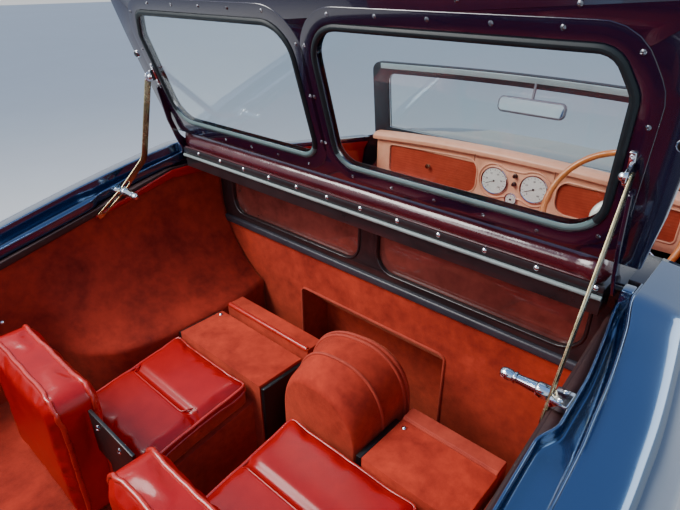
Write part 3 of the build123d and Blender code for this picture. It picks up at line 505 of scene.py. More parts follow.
def clearGlass(name, tint, rough):
    material, tree, shader, vector = newMaterial(name)
    smear = put(tree, "TexNoise", {"Scale": 5.0, "Detail": 5.0}, Vector=vector)
    film = put(tree, "MapRange", {"From Min": 0.5, "From Max": 0.8, "To Min": 0.0, "To Max": rough},
               Value=smear.outputs[0])
    tree.links.new(film.outputs[0], shader.inputs["Roughness"])
    shader.inputs["Base Color"].default_value = linear(*tint)
    shader.inputs["Transmission Weight"].default_value = 1.0
    shader.inputs["IOR"].default_value = 1.45
    return material


# Navy paint; its blue specular tint makes the reflections sky blue, a painted reflection.
bodyPaint = finish("bodyPaint", (7, 13, 34), (12, 22, 54), 3.0, (0.14, 0.22),
                   ("nap", 240.0, 0.00006, 0.10), contrast=1.0, coat=0.8, coatRough=0.03, coatIor=1.8,
                   ior=2.0, specular=0.7, specularTint=(140, 200, 255))
# The lid's copy of the navy paint, tinted purple: a painted reflection of the red trim in the paint.
lidPaintPaintedReflection = finish("lidPaintPaintedReflection", (16, 8, 27), (26, 13, 40), 3.0, (0.16, 0.24), ("nap", 240.0, 0.00006, 0.12),
                  contrast=1.0, coat=1.0, coatRough=0.04)
chassisPaint = finish("chassisPaint", (18, 18, 20), (38, 38, 41), 9.0, (0.45, 0.7),
                      ("nap", 160.0, 0.0004, 0.4))
suede = finish("suedeCarpet", (126, 28, 18), (202, 66, 42), 7.0, (0.82, 0.96),
               ("nap", 820.0, 0.0012, 0.75), contrast=2.7, sheen=0.5, sheenTint=(255, 150, 110),
               specular=0.25)
# A darker copy of the suede: painted shade, on the boot floor and on the side covers below the rim.
suedePaintedShade = finish("suedeWithPaintedShade", (98, 20, 14), (176, 54, 36), 6.0, (0.82, 0.96),
                    ("nap", 820.0, 0.0012, 0.75), contrast=2.7, sheen=0.4, sheenTint=(255, 140, 100),
                    specular=0.2)
suedeEdge = finish("suedeBinding", (140, 40, 30), (196, 78, 56), 16.0, (0.6, 0.8),
                   ("nap", 900.0, 0.0006, 0.5), contrast=1.8, sheen=0.4, sheenTint=(255, 160, 130),
                   specular=0.3)
leather = finish("redLeather", (134, 3, 5), (184, 9, 8), 6.0, (0.26, 0.44), ("hide", 420.0, 0.0007, 0.35),
                 contrast=1.6, coat=0.18, coatRough=0.12, specular=0.3)
leatherPiping = finish("leatherPiping", (150, 22, 18), (206, 52, 40), 20.0, (0.22, 0.36),
                       ("hide", 900.0, 0.0003, 0.3), coat=0.4, coatRough=0.14)
rollHide = finish("maroonHide", (48, 10, 20), (84, 24, 34), 5.0, (0.16, 0.34),
                  ("hide", 260.0, 0.0010, 0.4), contrast=1.8, coat=0.6, coatRough=0.10)
chrome = finish("chrome", (196, 200, 206), (236, 238, 242), 25.0, (0.05, 0.16),
                ("brushed", 420.0, 0.00005, 0.12), metal=1.0)
dullChrome = finish("dullChrome", (96, 98, 104), (150, 152, 158), 25.0, (0.2, 0.34), metal=1.0)
stayMetal = finish("agedPlate", (132, 112, 74), (206, 196, 158), 22.0, (0.14, 0.34),
                   ("brushed", 380.0, 0.00008, 0.2), contrast=2.2, metal=1.0)
greyRubber = finish("greyRubber", (92, 104, 104), (150, 162, 160), 14.0, (0.32, 0.5),
                    ("nap", 300.0, 0.0002, 0.3))
edgeRubber = finish("edgeRubber", (38, 38, 46), (66, 66, 76), 14.0, (0.28, 0.45),
                    ("nap", 300.0, 0.0003, 0.3))
sealRubber = finish("glazingRubber", (12, 18, 22), (26, 36, 40), 12.0, (0.4, 0.56),
                    ("nap", 300.0, 0.0002, 0.2), specular=0.3)
# A paler copy of the glazing rubber for the seal's lower run: a painted reflection of the sky.
sealPaintedReflection = finish("glazingRubberPaintedReflection", (58, 78, 80), (92, 114, 114), 12.0, (0.36, 0.5),
                  ("nap", 300.0, 0.0002, 0.2), coat=0.2, coatRough=0.2)
darkTrim = finish("darkTrim", (24, 20, 23), (50, 43, 46), 8.0, (0.22, 0.4), ("hide", 300.0, 0.0006, 0.25),
                  coat=0.4, coatRough=0.1)
# Dark gloss for the partition panes, its colour raised towards red: a painted reflection of the red trim.
glossPaintedReflection = finish("glossPaintedReflection", (74, 34, 32), (162, 84, 76), 5.0, (0.06, 0.16), ("nap", 9.0, 0.0010, 0.25),
                   contrast=2.2, coat=1.0, coatRough=0.03)
mirrorGlass = finish("mirrorGlass", (196, 208, 222), (222, 230, 240), 4.0, (0.01, 0.04), metal=1.0)
mirrorShell = finish("mirrorShell", (84, 88, 98), (116, 120, 130), 12.0, (0.25, 0.4), coat=0.4)
seamThread = finish("seamThread", (120, 58, 36), (150, 80, 52), 30.0, (0.5, 0.7))
dashWood = finish("dashWood", (146, 54, 38), (200, 84, 58), 6.0, (0.18, 0.3), ("wood", 34.0, 0.0002, 0.10),
                  contrast=2.0, coat=0.8, coatRough=0.06, vein=(112, 36, 24), veinShare=0.18)
tanLeather = finish("tanLeather", (222, 142, 108), (250, 188, 152), 8.0, (0.3, 0.5),
                    ("hide", 380.0, 0.0006, 0.35), coat=0.2, coatRough=0.2)
dialWhite = finish("dialWhite", (226, 224, 212), (246, 245, 238), 12.0, (0.3, 0.45), coat=0.5)
ivory = finish("ivoryEnamel", (224, 220, 198), (240, 238, 222), 10.0, (0.15, 0.3), coat=0.6)
wheelRim = finish("wheelRim", (182, 92, 36), (226, 136, 66), 14.0, (0.25, 0.4),
                  ("hide", 500.0, 0.0004, 0.25), coat=0.4)
blackPaint = finish("blackPaint", (8, 8, 9), (20, 19, 20), 12.0, (0.28, 0.5), ("nap", 260.0, 0.0002, 0.3))
screenPaint = finish("screenPaint", (20, 27, 34), (38, 48, 56), 5.0, (0.42, 0.56),
                     ("nap", 240.0, 0.0001, 0.2), specular=0.35)
# A pale grey copy of the screen paint for the head moulding: a painted highlight along the frame's top.
screenCapPaintedHighlight = finish("screenCapPaintedHighlight", (120, 136, 140), (158, 172, 174), 6.0, (0.3, 0.45),
                   ("nap", 240.0, 0.0001, 0.2), coat=0.3, coatRough=0.15)
# Near-black red hide for the covers' bound top edges: a painted shadow under the gutter lip.
lipHidePaintedShadow = finish("lipHidePaintedShadow", (30, 10, 10), (54, 18, 16), 9.0, (0.5, 0.7), ("hide", 600.0, 0.0004, 0.3))
lampRed = finish("lampRed", (150, 6, 8), (196, 14, 14), 30.0, (0.06, 0.12), coat=1.0)
paneGlass = clearGlass("clearGlass", (246, 252, 250), 0.02)


# Fixed nodes: a weld, an eased edge and smooth shading, with a finish
def smoothByAngle():
    tree = bpy.data.node_groups.new("smoothByAngle", "GeometryNodeTree")
    tree.interface.new_socket("Geometry", in_out="INPUT", socket_type="NodeSocketGeometry")
    tree.interface.new_socket("Geometry", in_out="OUTPUT", socket_type="NodeSocketGeometry")
    given, out = tree.nodes.new("NodeGroupInput"), tree.nodes.new("NodeGroupOutput")
    faces = tree.nodes.new("GeometryNodeSetShadeSmooth")
    edges = tree.nodes.new("GeometryNodeSetShadeSmooth")
    edges.domain = "EDGE"
    edges.inputs["Shade Smooth"].default_value = False
    angle = tree.nodes.new("GeometryNodeInputMeshEdgeAngle")
    sharp = tree.nodes.new("FunctionNodeCompare")
    sharp.operation = "GREATER_THAN"
    sharp.inputs[1].default_value = math.radians(32)
    tree.links.new(given.outputs[0], faces.inputs["Geometry"])
    tree.links.new(faces.outputs[0], edges.inputs["Geometry"])
    tree.links.new(angle.outputs["Unsigned Angle"], sharp.inputs[0])
    tree.links.new(sharp.outputs[0], edges.inputs["Selection"])
    tree.links.new(edges.outputs[0], out.inputs[0])
    return tree


smoothing = smoothByAngle()


def dress(name, material, edge):
    node = nodes[name]
    onlyMaterial(node.data, material)
    weld = node.modifiers.new("weld", "WELD")
    weld.merge_threshold = 0.00001
    if edge:
        easeEdges(node, edge * mm)
    smooth = node.modifiers.new("smooth", "NODES")
    smooth.node_group = smoothing


# Node, finish, eased edge in millimetres
fixedNodes = [
    ("underframe", chassisPaint, 3.0), ("floor_pan", chassisPaint, 1.0), ("scuttle", bodyPaint, 0.0),
    ("wheel_arches", chassisPaint, 1.0), ("tail_panel", bodyPaint, 0.0), ("gutter_rear", bodyPaint, 1.5),
    ("rear_hinge_lugs", bodyPaint, 0.6), ("deck_rail", darkTrim, 1.5), ("stud_strip", darkTrim, 0.8),
    ("seal_bead", greyRubber, 0.0), ("partition_frame", darkTrim, 3.0), ("partition_panes", glossPaintedReflection, 1.5),
    # boot_floor takes the darker suede copy, a painted shade.
    ("bulkhead_lower", suede, 3.0), ("boot_floor", suedePaintedShade, 2.0), ("seat_base_left", suede, 5.0),
    ("seat_base_right", suede, 5.0), ("seat_ironwork", blackPaint, 1.0), ("stay_clamps", chrome, 2.5),
    ("windscreen_frame", screenPaint, 3.0), ("windscreen_glass", paneGlass, 0.0),
    ("dash_panel", tanLeather, 2.5), ("steering_column", blackPaint, 0.8), ("lid_frame", lidPaintPaintedReflection, 3.0),
    ("lid_glass", paneGlass, 0.0), ("rear_lid", bodyPaint, 4.0), ("rear_lid_lining", suede, 2.0),
    ("rear_lid_leaves", chrome, 0.6), ("door_right", bodyPaint, 3.0), ("door_left", bodyPaint, 3.0),
    ("door_right_trim", leather, 2.0), ("door_left_trim", leather, 2.0), ("door_right_fittings", chrome, 1.0),
    ("door_left_fittings", chrome, 1.0), ("door_hinge_lugs", bodyPaint, 0.8),
]
for name, material, edge in fixedNodes:
    dress(name, material, edge)
print("fixed nodes dressed:", len(fixedNodes))


# Camera at the photograph's place, world and lamps
view = {"place": (0.689, -0.750, 1.260), "heading": 41.8, "pitch": 27.8, "lens": 28.06}
camera = linked("camera", bpy.data.cameras.new("camera"))
camera.location = view["place"]
camera.rotation_euler = (math.radians(90 - view["pitch"]), 0, math.radians(view["heading"]))
camera.data.lens = view["lens"]
camera.data.sensor_width = 36
camera.data.clip_start = 0.01
scene.camera = camera


def softWorld():
    # Pale near the horizon and light blue overhead.
    world = bpy.data.worlds.new("softSky")
    scene.world = world
    world.use_nodes = True
    tree = world.node_tree
    axes = put(tree, "SeparateXYZ", _0=put(tree, "TexCoord").outputs["Generated"])
    ramp = put(tree, "ValToRGB", _0=axes.outputs["Z"])
    stops = [(0.0, (0.80, 0.82, 0.84, 1)), (0.25, (0.90, 0.94, 1.0, 1)), (0.85, (0.26, 0.46, 0.86, 1))]
    ramp.color_ramp.elements[0].position, ramp.color_ramp.elements[0].color = stops[0]
    ramp.color_ramp.elements[1].position, ramp.color_ramp.elements[1].color = stops[2]
    middle = ramp.color_ramp.elements.new(stops[1][0])
    middle.color = stops[1][1]
    background = tree.nodes["Background"]
    tree.links.new(ramp.outputs[0], background.inputs["Color"])
    background.inputs["Strength"].default_value = 1.0


def softLamp(name, place, target, size, power, colour):
    light = bpy.data.lights.new(name, "AREA")
    light.shape = "RECTANGLE"
    light.size, light.size_y = size
    light.energy = power
    light.color = colour
    lamp = linked(name, light)
    lamp.location = place
    lamp.rotation_euler = (Vector(target) - Vector(place)).to_track_quat("-Z", "Y").to_euler()


softWorld()
softLamp("keyLamp", (-1.5, -1.6, 3.0), (0, -0.3, 0.6), (1.5, 1.5), 140, (1.0, 0.97, 0.92))
softLamp("fillLamp", (2.4, 1.6, 2.6), (0.2, 0, 0.8), (2.0, 1.4), 45, (0.95, 0.98, 1.0))
softLamp("rearLamp", (-0.45, -1.7, 1.65), (0.1, 0.15, 0.35), (1.0, 0.6), 10, (1.0, 0.98, 0.95))

floorHalf = 30.0
floorPaint = finish("paleFloor", (206, 202, 194), (222, 219, 212), 0.5, (0.7, 0.85), contrast=0.8)
floor = addMesh("floor", [(-floorHalf, -floorHalf, 0), (floorHalf, -floorHalf, 0),
                          (floorHalf, floorHalf, 0), (-floorHalf, floorHalf, 0)], [[0, 1, 2, 3]], floorPaint)


# Rim of the dickey opening: y, half-width of the outer lip, half-width of the inner lip, in millimetres
rimTable = [(40, 577, 556), (0, 577, 556), (-68, 590, 564), (-162, 603, 572), (-225, 608, 572),
            (-262, 611, 558), (-378, 613, 560), (-468, 613, 563), (-600, 608, 560), (-750, 594, 546),
            (-900, 568, 518), (-1000, 530, 478)]
rim = {"frontZ": 862.0, "fall": 0.24, "wall": 4.0, "depth": 46.0, "innerDrop": 22.0}


def rimHeight(y):
    return rim["frontZ"] + rim["fall"] * np.minimum(y, 0.0)


# Gutters: a folded channel, its section carried along the rim
def gutter():
    y = np.linspace(-1000, 40, 150)
    lip, inner = smoothTable(rimTable, y).T
    top = rimHeight(y)
    low = top - rim["depth"]
    step = top - rim["innerDrop"]
    wall = rim["wall"]
    corners = np.stack([
        np.stack([lip, top], 1), np.stack([lip, low], 1), np.stack([inner, low], 1),
        np.stack([inner, step], 1), np.stack([inner + wall + 1, step], 1),
        np.stack([inner + wall, low + wall], 1), np.stack([lip - wall, low + wall], 1),
        np.stack([lip - wall, top], 1)], 1)
    section = rounded(corners, [2, 5, 4, 2.4, 2.4, 6, 8, 2], 5)
    grid = np.concatenate([section[..., :1], np.broadcast_to(y[:, None, None], section[..., :1].shape),
                           section[..., 1:]], -1) * mm
    return loftMesh("gutterChannel.right", grid, bodyPaint)


bothSides(gutter(), "body_paint", "gutter_*")

# Hinge ears at the gutters' front ends, with the pins of the front lid
hinge = Vector(frame["joints"][0]["pos_m"])
ear = {"inner": 556, "outer": 573, "half": 13, "foot": 817, "head": 861, "pinX": 540, "wallHead": 840,
       "wallY": (36, 40)}
earBlock = roundedBox("lidHingeEar.right", (ear["inner"] * mm, hinge.y - ear["half"] * mm, ear["foot"] * mm),
                      (ear["outer"] * mm, hinge.y + ear["half"] * mm, ear["head"] * mm), 0.003, bodyPaint)
bothSides(earBlock, "body_paint")
pinProfile = np.array([(0, 0), (0, 3.6), (0.8, 5.0), (17, 5.0), (17, 0)]) * mm
pinStart = (ear["pinX"] * mm, hinge.y, hinge.z)
earPin = lathe("lidHingePin.right", pinProfile, pinStart, (1, 0, 0), blackPaint, 24)
bothSides(earPin, "dark_trim")
endWall = roundedBox("gutterEnd.right", np.array([ear["inner"], ear["wallY"][0], ear["foot"]]) * mm,
                     np.array([ear["outer"], ear["wallY"][1], ear["wallHead"]]) * mm, 0.0012, bodyPaint)
bothSides(endWall, "body_paint")
print("gutters made")

# Body sides: y, shoulder x, shoulder drop below the rim, waist x, waist z, low x, sill x
sideTable = [(148, 664, 62, 700, 600, 702, 680), (0, 672, 58, 706, 600, 708, 684),
             (-207, 692, 54, 716, 580, 718, 690), (-468, 700, 60, 722, 540, 722, 692),
             (-750, 684, 66, 706, 480, 708, 672), (-1000, 640, 72, 664, 420, 668, 630),
             (-1050, 628, 74, 652, 400, 656, 618)]
arch = {"y": -240.0, "z": 30.0, "radius": 370.0, "bead": 7.0}
bodyFoot = 60.0


def bodySide():
    edge = math.sqrt(arch["radius"] ** 2 - (bodyFoot - arch["z"]) ** 2)
    y = np.union1d(np.linspace(-1050, 148, 110), [arch["y"] - edge, arch["y"] + edge])
    shoulder, drop, waist, waistZ, low, sill = smoothTable(sideTable, y).T
    lip = smoothTable(rimTable, y)[:, 0]
    top = rimHeight(y)
    # Down the side: lip, rolled edge, crest, shoulder, upper side, waist, lower side and sill.
    x = np.stack([lip, lip + 10, (lip + shoulder) / 2 + 13, shoulder, shoulder + 0.62 * (waist - shoulder),
                  waist, low, sill], 0)
    z = np.stack([top, top - 0.6, top - 0.19 * drop, top - drop, top - drop - 50, waistZ, 0.5 * waistZ,
                  np.full_like(y, bodyFoot)], 0)
    knots = np.arange(8)[:, None]
    fine = np.linspace(0, 7, 260)
    x = smoothTable(np.hstack([knots, x]), fine)
    z = smoothTable(np.hstack([knots, z]), fine)
    across = np.clip(1 - ((y - arch["y"]) / arch["radius"]) ** 2, 0, 1)
    archZ = np.where(across > 0, arch["z"] + arch["radius"] * np.sqrt(across), 0)
    foot = np.maximum(bodyFoot, archZ)
    share = np.linspace(0, 1, 56)
    grid = np.zeros((len(y), len(share), 3))
    for k in range(len(y)):
        last = np.interp(-foot[k], -z[:, k], fine)
        at = share * last
        grid[k, :, 0] = np.interp(at, fine, x[:, k])
        grid[k, :, 1] = y[k]
        grid[k, :, 2] = np.interp(at, fine, z[:, k])
    inArch = foot > bodyFoot
    return grid * mm, grid[inArch, -1] * mm


sideGrid, archLine = bodySide()
sideSkin = sheetMesh("bodySide.right", sideGrid, bodyPaint, (1, 0, 0.3), 0.0036)
bothSides(sideSkin, "body_paint", "quarter_*")
archLine = evenly(archLine, 90)
archLine[:, 0] += 0.001
archBead = tube("archBead.right", archLine, arch["bead"] * mm / 2, bodyPaint, (1, 0, 0))
bothSides(archBead, "body_paint")
print("body sides made")

# Front lid: its own plane, s up the lid and height from the plane, set at its raised angle
lid = {"angle": 107.0, "shut": 193.5, "inner": 4.5, "outer": 11.5, "bar": 52, "footS": 89, "headS": 351,
       "paintedReflectionBand": 0.03, "footX": 514, "headX": 531, "headInset": 26, "cornerS": 300,
       "corners": (42, 62, 34, 34, 62), "sideGap": 9.6}
lidPlace = Matrix.Translation(hinge) @ Matrix.Rotation(math.radians(lid["angle"]), 4, "X")


def inLid(points):
    # Millimetres in the lid's plane to metres in the car.
    points = np.asarray(points, float) * mm
    rotation, shift = np.array(lidPlace.to_3x3()), np.array(lidPlace.translation)
    return points @ rotation.T + shift


def paneLoop(grow):
    inner, foot, head = lid["bar"] / 2 - grow, lid["footS"] - grow, lid["headS"] + grow
    corners = [(inner, foot), (lid["footX"] + grow, foot), (lid["headX"] + grow, lid["cornerS"]),
               (lid["headX"] - lid["headInset"] + grow, head), (inner, head)]
    return rounded(corners, np.array(lid["corners"]) + grow, 9)


def ringAround(name, loop, profile, height, material):
    # A profile (outwards, up) carried round a closed loop that lies in the lid's plane.
    loop = evenly(loop, 150, True)
    ahead = unit(np.roll(loop, -1, 0) - np.roll(loop, 1, 0))
    outward = np.stack([ahead[:, 1], -ahead[:, 0]], 1)
    flat = loop[:, None] + outward[:, None] * profile[None, :, :1]
    grid = np.concatenate([flat, np.broadcast_to(height + profile[None, :, 1:], flat[..., :1].shape)], -1)
    return loftMesh(name, inLid(grid), material, True)


# Glazing seal: a soft lip over the pane's edge, then a rounded bead on the frame
sealProfile = rounded([(-6, 0), (-5.6, 1.6), (-1.5, 4.4), (2.2, 4.4), (5.5, 1.8), (6, 0)],
                      [0.4, 0.8, 1.6, 1.8, 1.2, 0.3], 4)
sealRight = ringAround("glazingSeal.right", paneLoop(0), sealProfile, lid["inner"], sealRubber)
# The seal's lower run takes the paler copy, a painted reflection of the sky; the rest stays dark.
sealRight.data.materials.append(sealPaintedReflection)
sealFoot = pointsOf(sealRight)[:, 2].min()
for face in sealRight.data.polygons:
    face.material_index = int(face.center[2] < sealFoot + lid["paintedReflectionBand"])  # the lower run is paler
bothSides(sealRight, "grey_rubber", "lid_seals", body="front_lid")
innerSeal = ringAround("glazingSealOuter.right", paneLoop(0),
                       rounded([(-5, 0), (-4, -2.4), (3, -2.8), (6, 0)], [0.6, 1.2, 1.2, 0.4], 4),
                       -lid["outer"] + 0.1, sealRubber)
bothSides(innerSeal, "grey_rubber", body="front_lid")

# Pane surround: a flat pressed ring with an eased edge, held by a row of screws
surroundProfile = rounded([(7, 0), (7.5, 1.1), (31, 1.1), (32, 0)], [0.3, 0.5, 0.5, 0.3], 4)
surround = ringAround("paneSurround.right", paneLoop(0), surroundProfile, lid["inner"] - 0.2, lidPaintPaintedReflection)
bothSides(surround, "body_paint", body="front_lid")


def screwGrid(radius, height, slotDepth=0.5):
    # A domed head with a slot: height falls as the square of the radius, less along a narrow strip.
    r = np.array([0, 0.06, 0.14, 0.17, 0.35, 0.6, 0.85, 1.0, 1.0])[:, None]
    turn = fullTurn(20)[None, :]
    x, y = r * np.cos(turn), r * np.sin(turn)
    z = (1 - 0.75 * r ** 2) * np.ones_like(x)
    z = np.where((np.abs(y) < 0.16) & (r < 0.95), z - slotDepth, z)
    z[-1] = 0
    return np.stack([x * radius, y * radius, z * height], -1)


def screwPlaces(points, frameMatrix, seed):
    # Upright on the plane of frameMatrix, each turned about its own axis by a seeded random angle.
    turns = np.random.default_rng(seed).uniform(0, math.pi, len(points))
    return [np.array(frameMatrix @ Matrix.Translation(Vector(p)) @ Matrix.Rotation(t, 4, "Z"))
            for p, t in zip(points, turns)]


screw = {"radius": 3.5, "height": 2.0, "spacing": 88, "offset": 21, "edgeS": 398, "edgeX": 460}
loop = evenly(paneLoop(screw["offset"]), 400, True)
around = np.linalg.norm(np.roll(loop, -1, 0) - loop, axis=1).sum()
picked = loop[np.linspace(0, 400, int(around / screw["spacing"]), endpoint=False).astype(int)]
spots = np.concatenate([picked, picked * [-1, 1]])
spots = np.concatenate([spots, np.full((len(spots), 1), lid["inner"] + 0.8)], 1) * mm
edgeSpots = acrossX(-screw["edgeX"], screw["edgeX"], 7, screw["edgeS"], lid["inner"]) * mm
screws = copies("lidScrews", screwGrid(screw["radius"] * mm, screw["height"] * mm),
                screwPlaces(np.concatenate([spots, edgeSpots]), lidPlace, 3), dullChrome)
settle(screws, "chrome", body="front_lid")


# Hinge arms and stay brackets
def facingX(x, place=Matrix.Identity(4)):
    # Plate coordinates (first, second, thickness) laid as Y, Z and X in place.
    turn = Matrix(((0, 0, 1, x), (1, 0, 0, 0), (0, 1, 0, 0), (0, 0, 0, 1)))
    return place @ turn


armOutline = rounded([(-13, -10), (-12, 11), (30, 20), (90, 23), (140, 18), (176, 14), (176, 4.4),
                      (108, 4.4), (88, 10), (40, 6), (11, -12)],
                     [9, 11, 60, 80, 60, 4, 1, 20, 30, 40, 9], 7)
hingeArm = {"x": 546, "plate": 6}
arm = plateMesh("hingeArm.right", evenly(armOutline, 110, True) * mm, hingeArm["plate"] * mm, lidPaintPaintedReflection,
                facingX(hingeArm["x"] * mm, lidPlace), 0.0012)
bothSides(arm, "body_paint", "lid_brackets", body="front_lid")

bracket = {"s": 206, "height": 22.5, "footX": 535, "edgeX": 543.5, "half": 26, "low": 4.2, "high": 8.5,
           "plate": 5.0, "screwX": 539.2, "screwGap": 20, "pivotOut": 12}
footPlate = roundedBox("stayBracketFoot.right",
                       np.array([bracket["footX"], bracket["s"] - bracket["half"], bracket["low"]]) * mm,
                       np.array([bracket["edgeX"], bracket["s"] + bracket["half"], bracket["high"]]) * mm,
                       0.0012, chrome)
footPlate.data.transform(lidPlace)
bothSides(footPlate, "chrome", body="front_lid")
lugOutline = rounded([(193, 4.4), (219, 4.4), (219, 14), (215, 34), (197, 34), (193, 14)],
                     [1, 1, 8, 10, 10, 8], 6)
lug = plateMesh("stayBracketLug.right", lugOutline * mm, bracket["plate"] * mm, chrome,
                facingX((bracket["edgeX"] - bracket["plate"] / 2) * mm, lidPlace), 0.001)
bothSides(lug, "chrome", body="front_lid")
pivot = inLid([(bracket["edgeX"] - bracket["pivotOut"], bracket["s"], bracket["height"])])[0]
pivotProfile = np.array([(0, 0), (0, 3.0), (1.5, 5.2), (4, 6.4), (7, 6.4), (7, 4), (16.0, 4), (16.0, 0)]) * mm
pivotBolt = lathe("stayPivot.right", pivotProfile, pivot, (1, 0, 0), chrome, 24)
bothSides(pivotBolt, "chrome", body="front_lid")
footScrews = [(side * bracket["screwX"], bracket["s"] + end * bracket["screwGap"], bracket["high"] - 0.1)
              for side in (1, -1) for end in (-1, 1)]
bracketScrews = copies("bracketScrews", screwGrid(3.2 * mm, 1.6 * mm),
                       screwPlaces(np.array(footScrews) * mm, lidPlace, 5), chrome)
settle(bracketScrews, "chrome", body="front_lid")

# Buffers near the lid's sides, just inside the rim once it is shut
bufferPad = {"s": 250, "radius": 9.0}
bufferY = hinge.y / mm + bufferPad["s"] * math.cos(math.radians(lid["shut"]))
bufferX = smoothTable(rimTable, [bufferY])[0, 0] - lid["sideGap"] - bufferPad["radius"]
bufferAt = inLid([(bufferX, bufferPad["s"], lid["inner"])])[0]
lidAxis = lidPlace.to_3x3() @ Vector((0, 0, 1))
bufferProfile = np.array([(0, 0), (0, 6.8), (1.0, 7.4), (3.6, 6.6), (4.8, 4.6), (5.0, 0)]) * mm
buffer = lathe("lidBuffer.right", bufferProfile, bufferAt, lidAxis, blackPaint, 28)
bothSides(buffer, "dark_trim", body="front_lid")
rimProfile = np.array([(0, 7.2), (0, 9.2), (1.8, 9.2), (2.6, 8.4), (2.4, 7.2)]) * mm
bufferRim = turnedRing("lidBufferRim.right", rimProfile, bufferAt, lidAxis, chrome, 28)
bothSides(bufferRim, "chrome", body="front_lid")
print("front lid dressed")

# Stays: a slotted strip, straight on the right and bent near the clamp on the left
stayShape = {"x": 546, "thickness": 3.0, "edge": 0.5, "width": 16.0, "slot": 7.0, "clampY": -184,
             "clampZ": 785, "tail": 34, "bend": (-111, 851), "bentEnd": (-250, 739), "bendRadius": 46,
             "slotFrom": 268, "slotEnd": 12}
stayPivot = np.array(frame["joints"][2]["pos_m"][1:]) / mm
clampSpot = np.array([stayShape["clampY"], stayShape["clampZ"]], float)


def stripOutline(centre, width):
    # Both sides of a line offset by half the width, closed by half circles.
    ahead = unit(np.gradient(centre, axis=0))
    side = np.stack([-ahead[:, 1], ahead[:, 0]], 1) * width / 2
    turn = np.linspace(0, math.pi, 9)[1:-1, None]
    endCap = centre[-1] + np.cos(turn) * side[-1] + np.sin(turn) * ahead[-1] * width / 2
    startCap = centre[0] - np.cos(turn) * side[0] - np.sin(turn) * ahead[0] * width / 2
    return np.concatenate([centre + side, endCap, (centre - side)[::-1], startCap])


def slottedStrip(name, route, material):
    centre = evenly(rounded(route, stayShape["bendRadius"], 9, False), 90)
    along = np.linspace(0, np.linalg.norm(np.diff(centre, axis=0), axis=1).sum(), len(centre))
    inSlot = (along > stayShape["slotFrom"]) & (along < along[-1] - stayShape["slotEnd"])
    flat = bpy.data.curves.new(name, "CURVE")
    flat.dimensions = "2D"
    flat.fill_mode = "BOTH"
    flat.extrude = (stayShape["thickness"] / 2 - stayShape["edge"]) * mm
    flat.bevel_depth = stayShape["edge"] * mm
    flat.bevel_resolution = 1
    flat.offset = -stayShape["edge"] * mm
    strip, slot = stripOutline(centre, stayShape["width"]), stripOutline(centre[inSlot], stayShape["slot"])
    for outline in (strip, slot):
        line = flat.splines.new("POLY")
        line.points.add(len(outline) - 1)
        ends = np.tile([0.0, 1.0], (len(outline), 1))  # each point's z and weight
        line.points.foreach_set("co", np.concatenate([outline * mm, ends], 1).ravel())
        line.use_cyclic_u = True
    mesh = curveMesh(name + "Line", flat)
    onlyMaterial(mesh, material)
    mesh.transform(facingX(stayShape["x"] * mm))
    return faceOut(linked(name, mesh), 35)


run = clampSpot - stayPivot
straightEnd = stayPivot + run * (1 + stayShape["tail"] / np.linalg.norm(run))
rightStrip = slottedStrip("stayStrip.right", [stayPivot, straightEnd], stayMetal)
settle(rightStrip, "chrome", "stay_right", body="stay_right")
leftStrip = slottedStrip("stayStripBent", [stayPivot, stayShape["bend"], clampSpot, stayShape["bentEnd"]],
                         stayMetal)
bentStrip = mirrored(leftStrip, "stayStrip.left")
bpy.data.objects.remove(leftStrip)
settle(bentStrip, "chrome", "stay_left", body="stay_left")

# Clamp handle: rounded tip, waist, ring and collar, with the bolt through the slot
handleX = stayShape["x"] - stayShape["thickness"] / 2
handleProfile = [(-69, 0), (-69, 2.4), (-68, 5.2), (-65.5, 7.4), (-61, 8.4), (-54, 8.4), (-51, 7.0),
                 (-49, 7.0), (-48, 8.5), (-45, 8.5), (-44, 6.9), (-40, 6.8), (-22, 8.2), (-18, 8.4),
                 (-16, 10.2), (-14.5, 10.5), (-2, 10.5), (0, 9.6), (0, 3.1), (3.0, 3.1), (3.0, 0)]
handle = lathe("stayHandle.right", np.array(handleProfile) * mm,
               (handleX * mm, clampSpot[0] * mm, clampSpot[1] * mm), (1, 0, 0), chrome, 36)
bothSides(handle, "chrome", body="stay_*")
clampScrew = {"x": 560, "gap": 10, "z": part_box("stay_clamps")[1].z}
clampScrewPlaces = [np.array(Matrix.Translation((side * clampScrew["x"] * mm, (clampSpot[0] + dy) * mm,
                                                 clampScrew["z"])))
                    for side in (-1, 1) for dy in (-clampScrew["gap"], clampScrew["gap"])]
clampScrews = copies("clampScrews", screwGrid(3.4 * mm, 1.6 * mm), clampScrewPlaces, chrome)
settle(clampScrews, "chrome")
print("stays made")

# Padded roll along the deck edge: its radius swells at the right end and flares at the left
roll = {"y": 20.0, "z": 873.0, "radius": 21.0, "swell": (2.6, 22, 14), "waist": (-1.6, 46, 9),
        "endRound": 20, "flare": 20, "seam": (-0.53, 0.51), "seamBack": 17.6, "seamDown": 12.6}


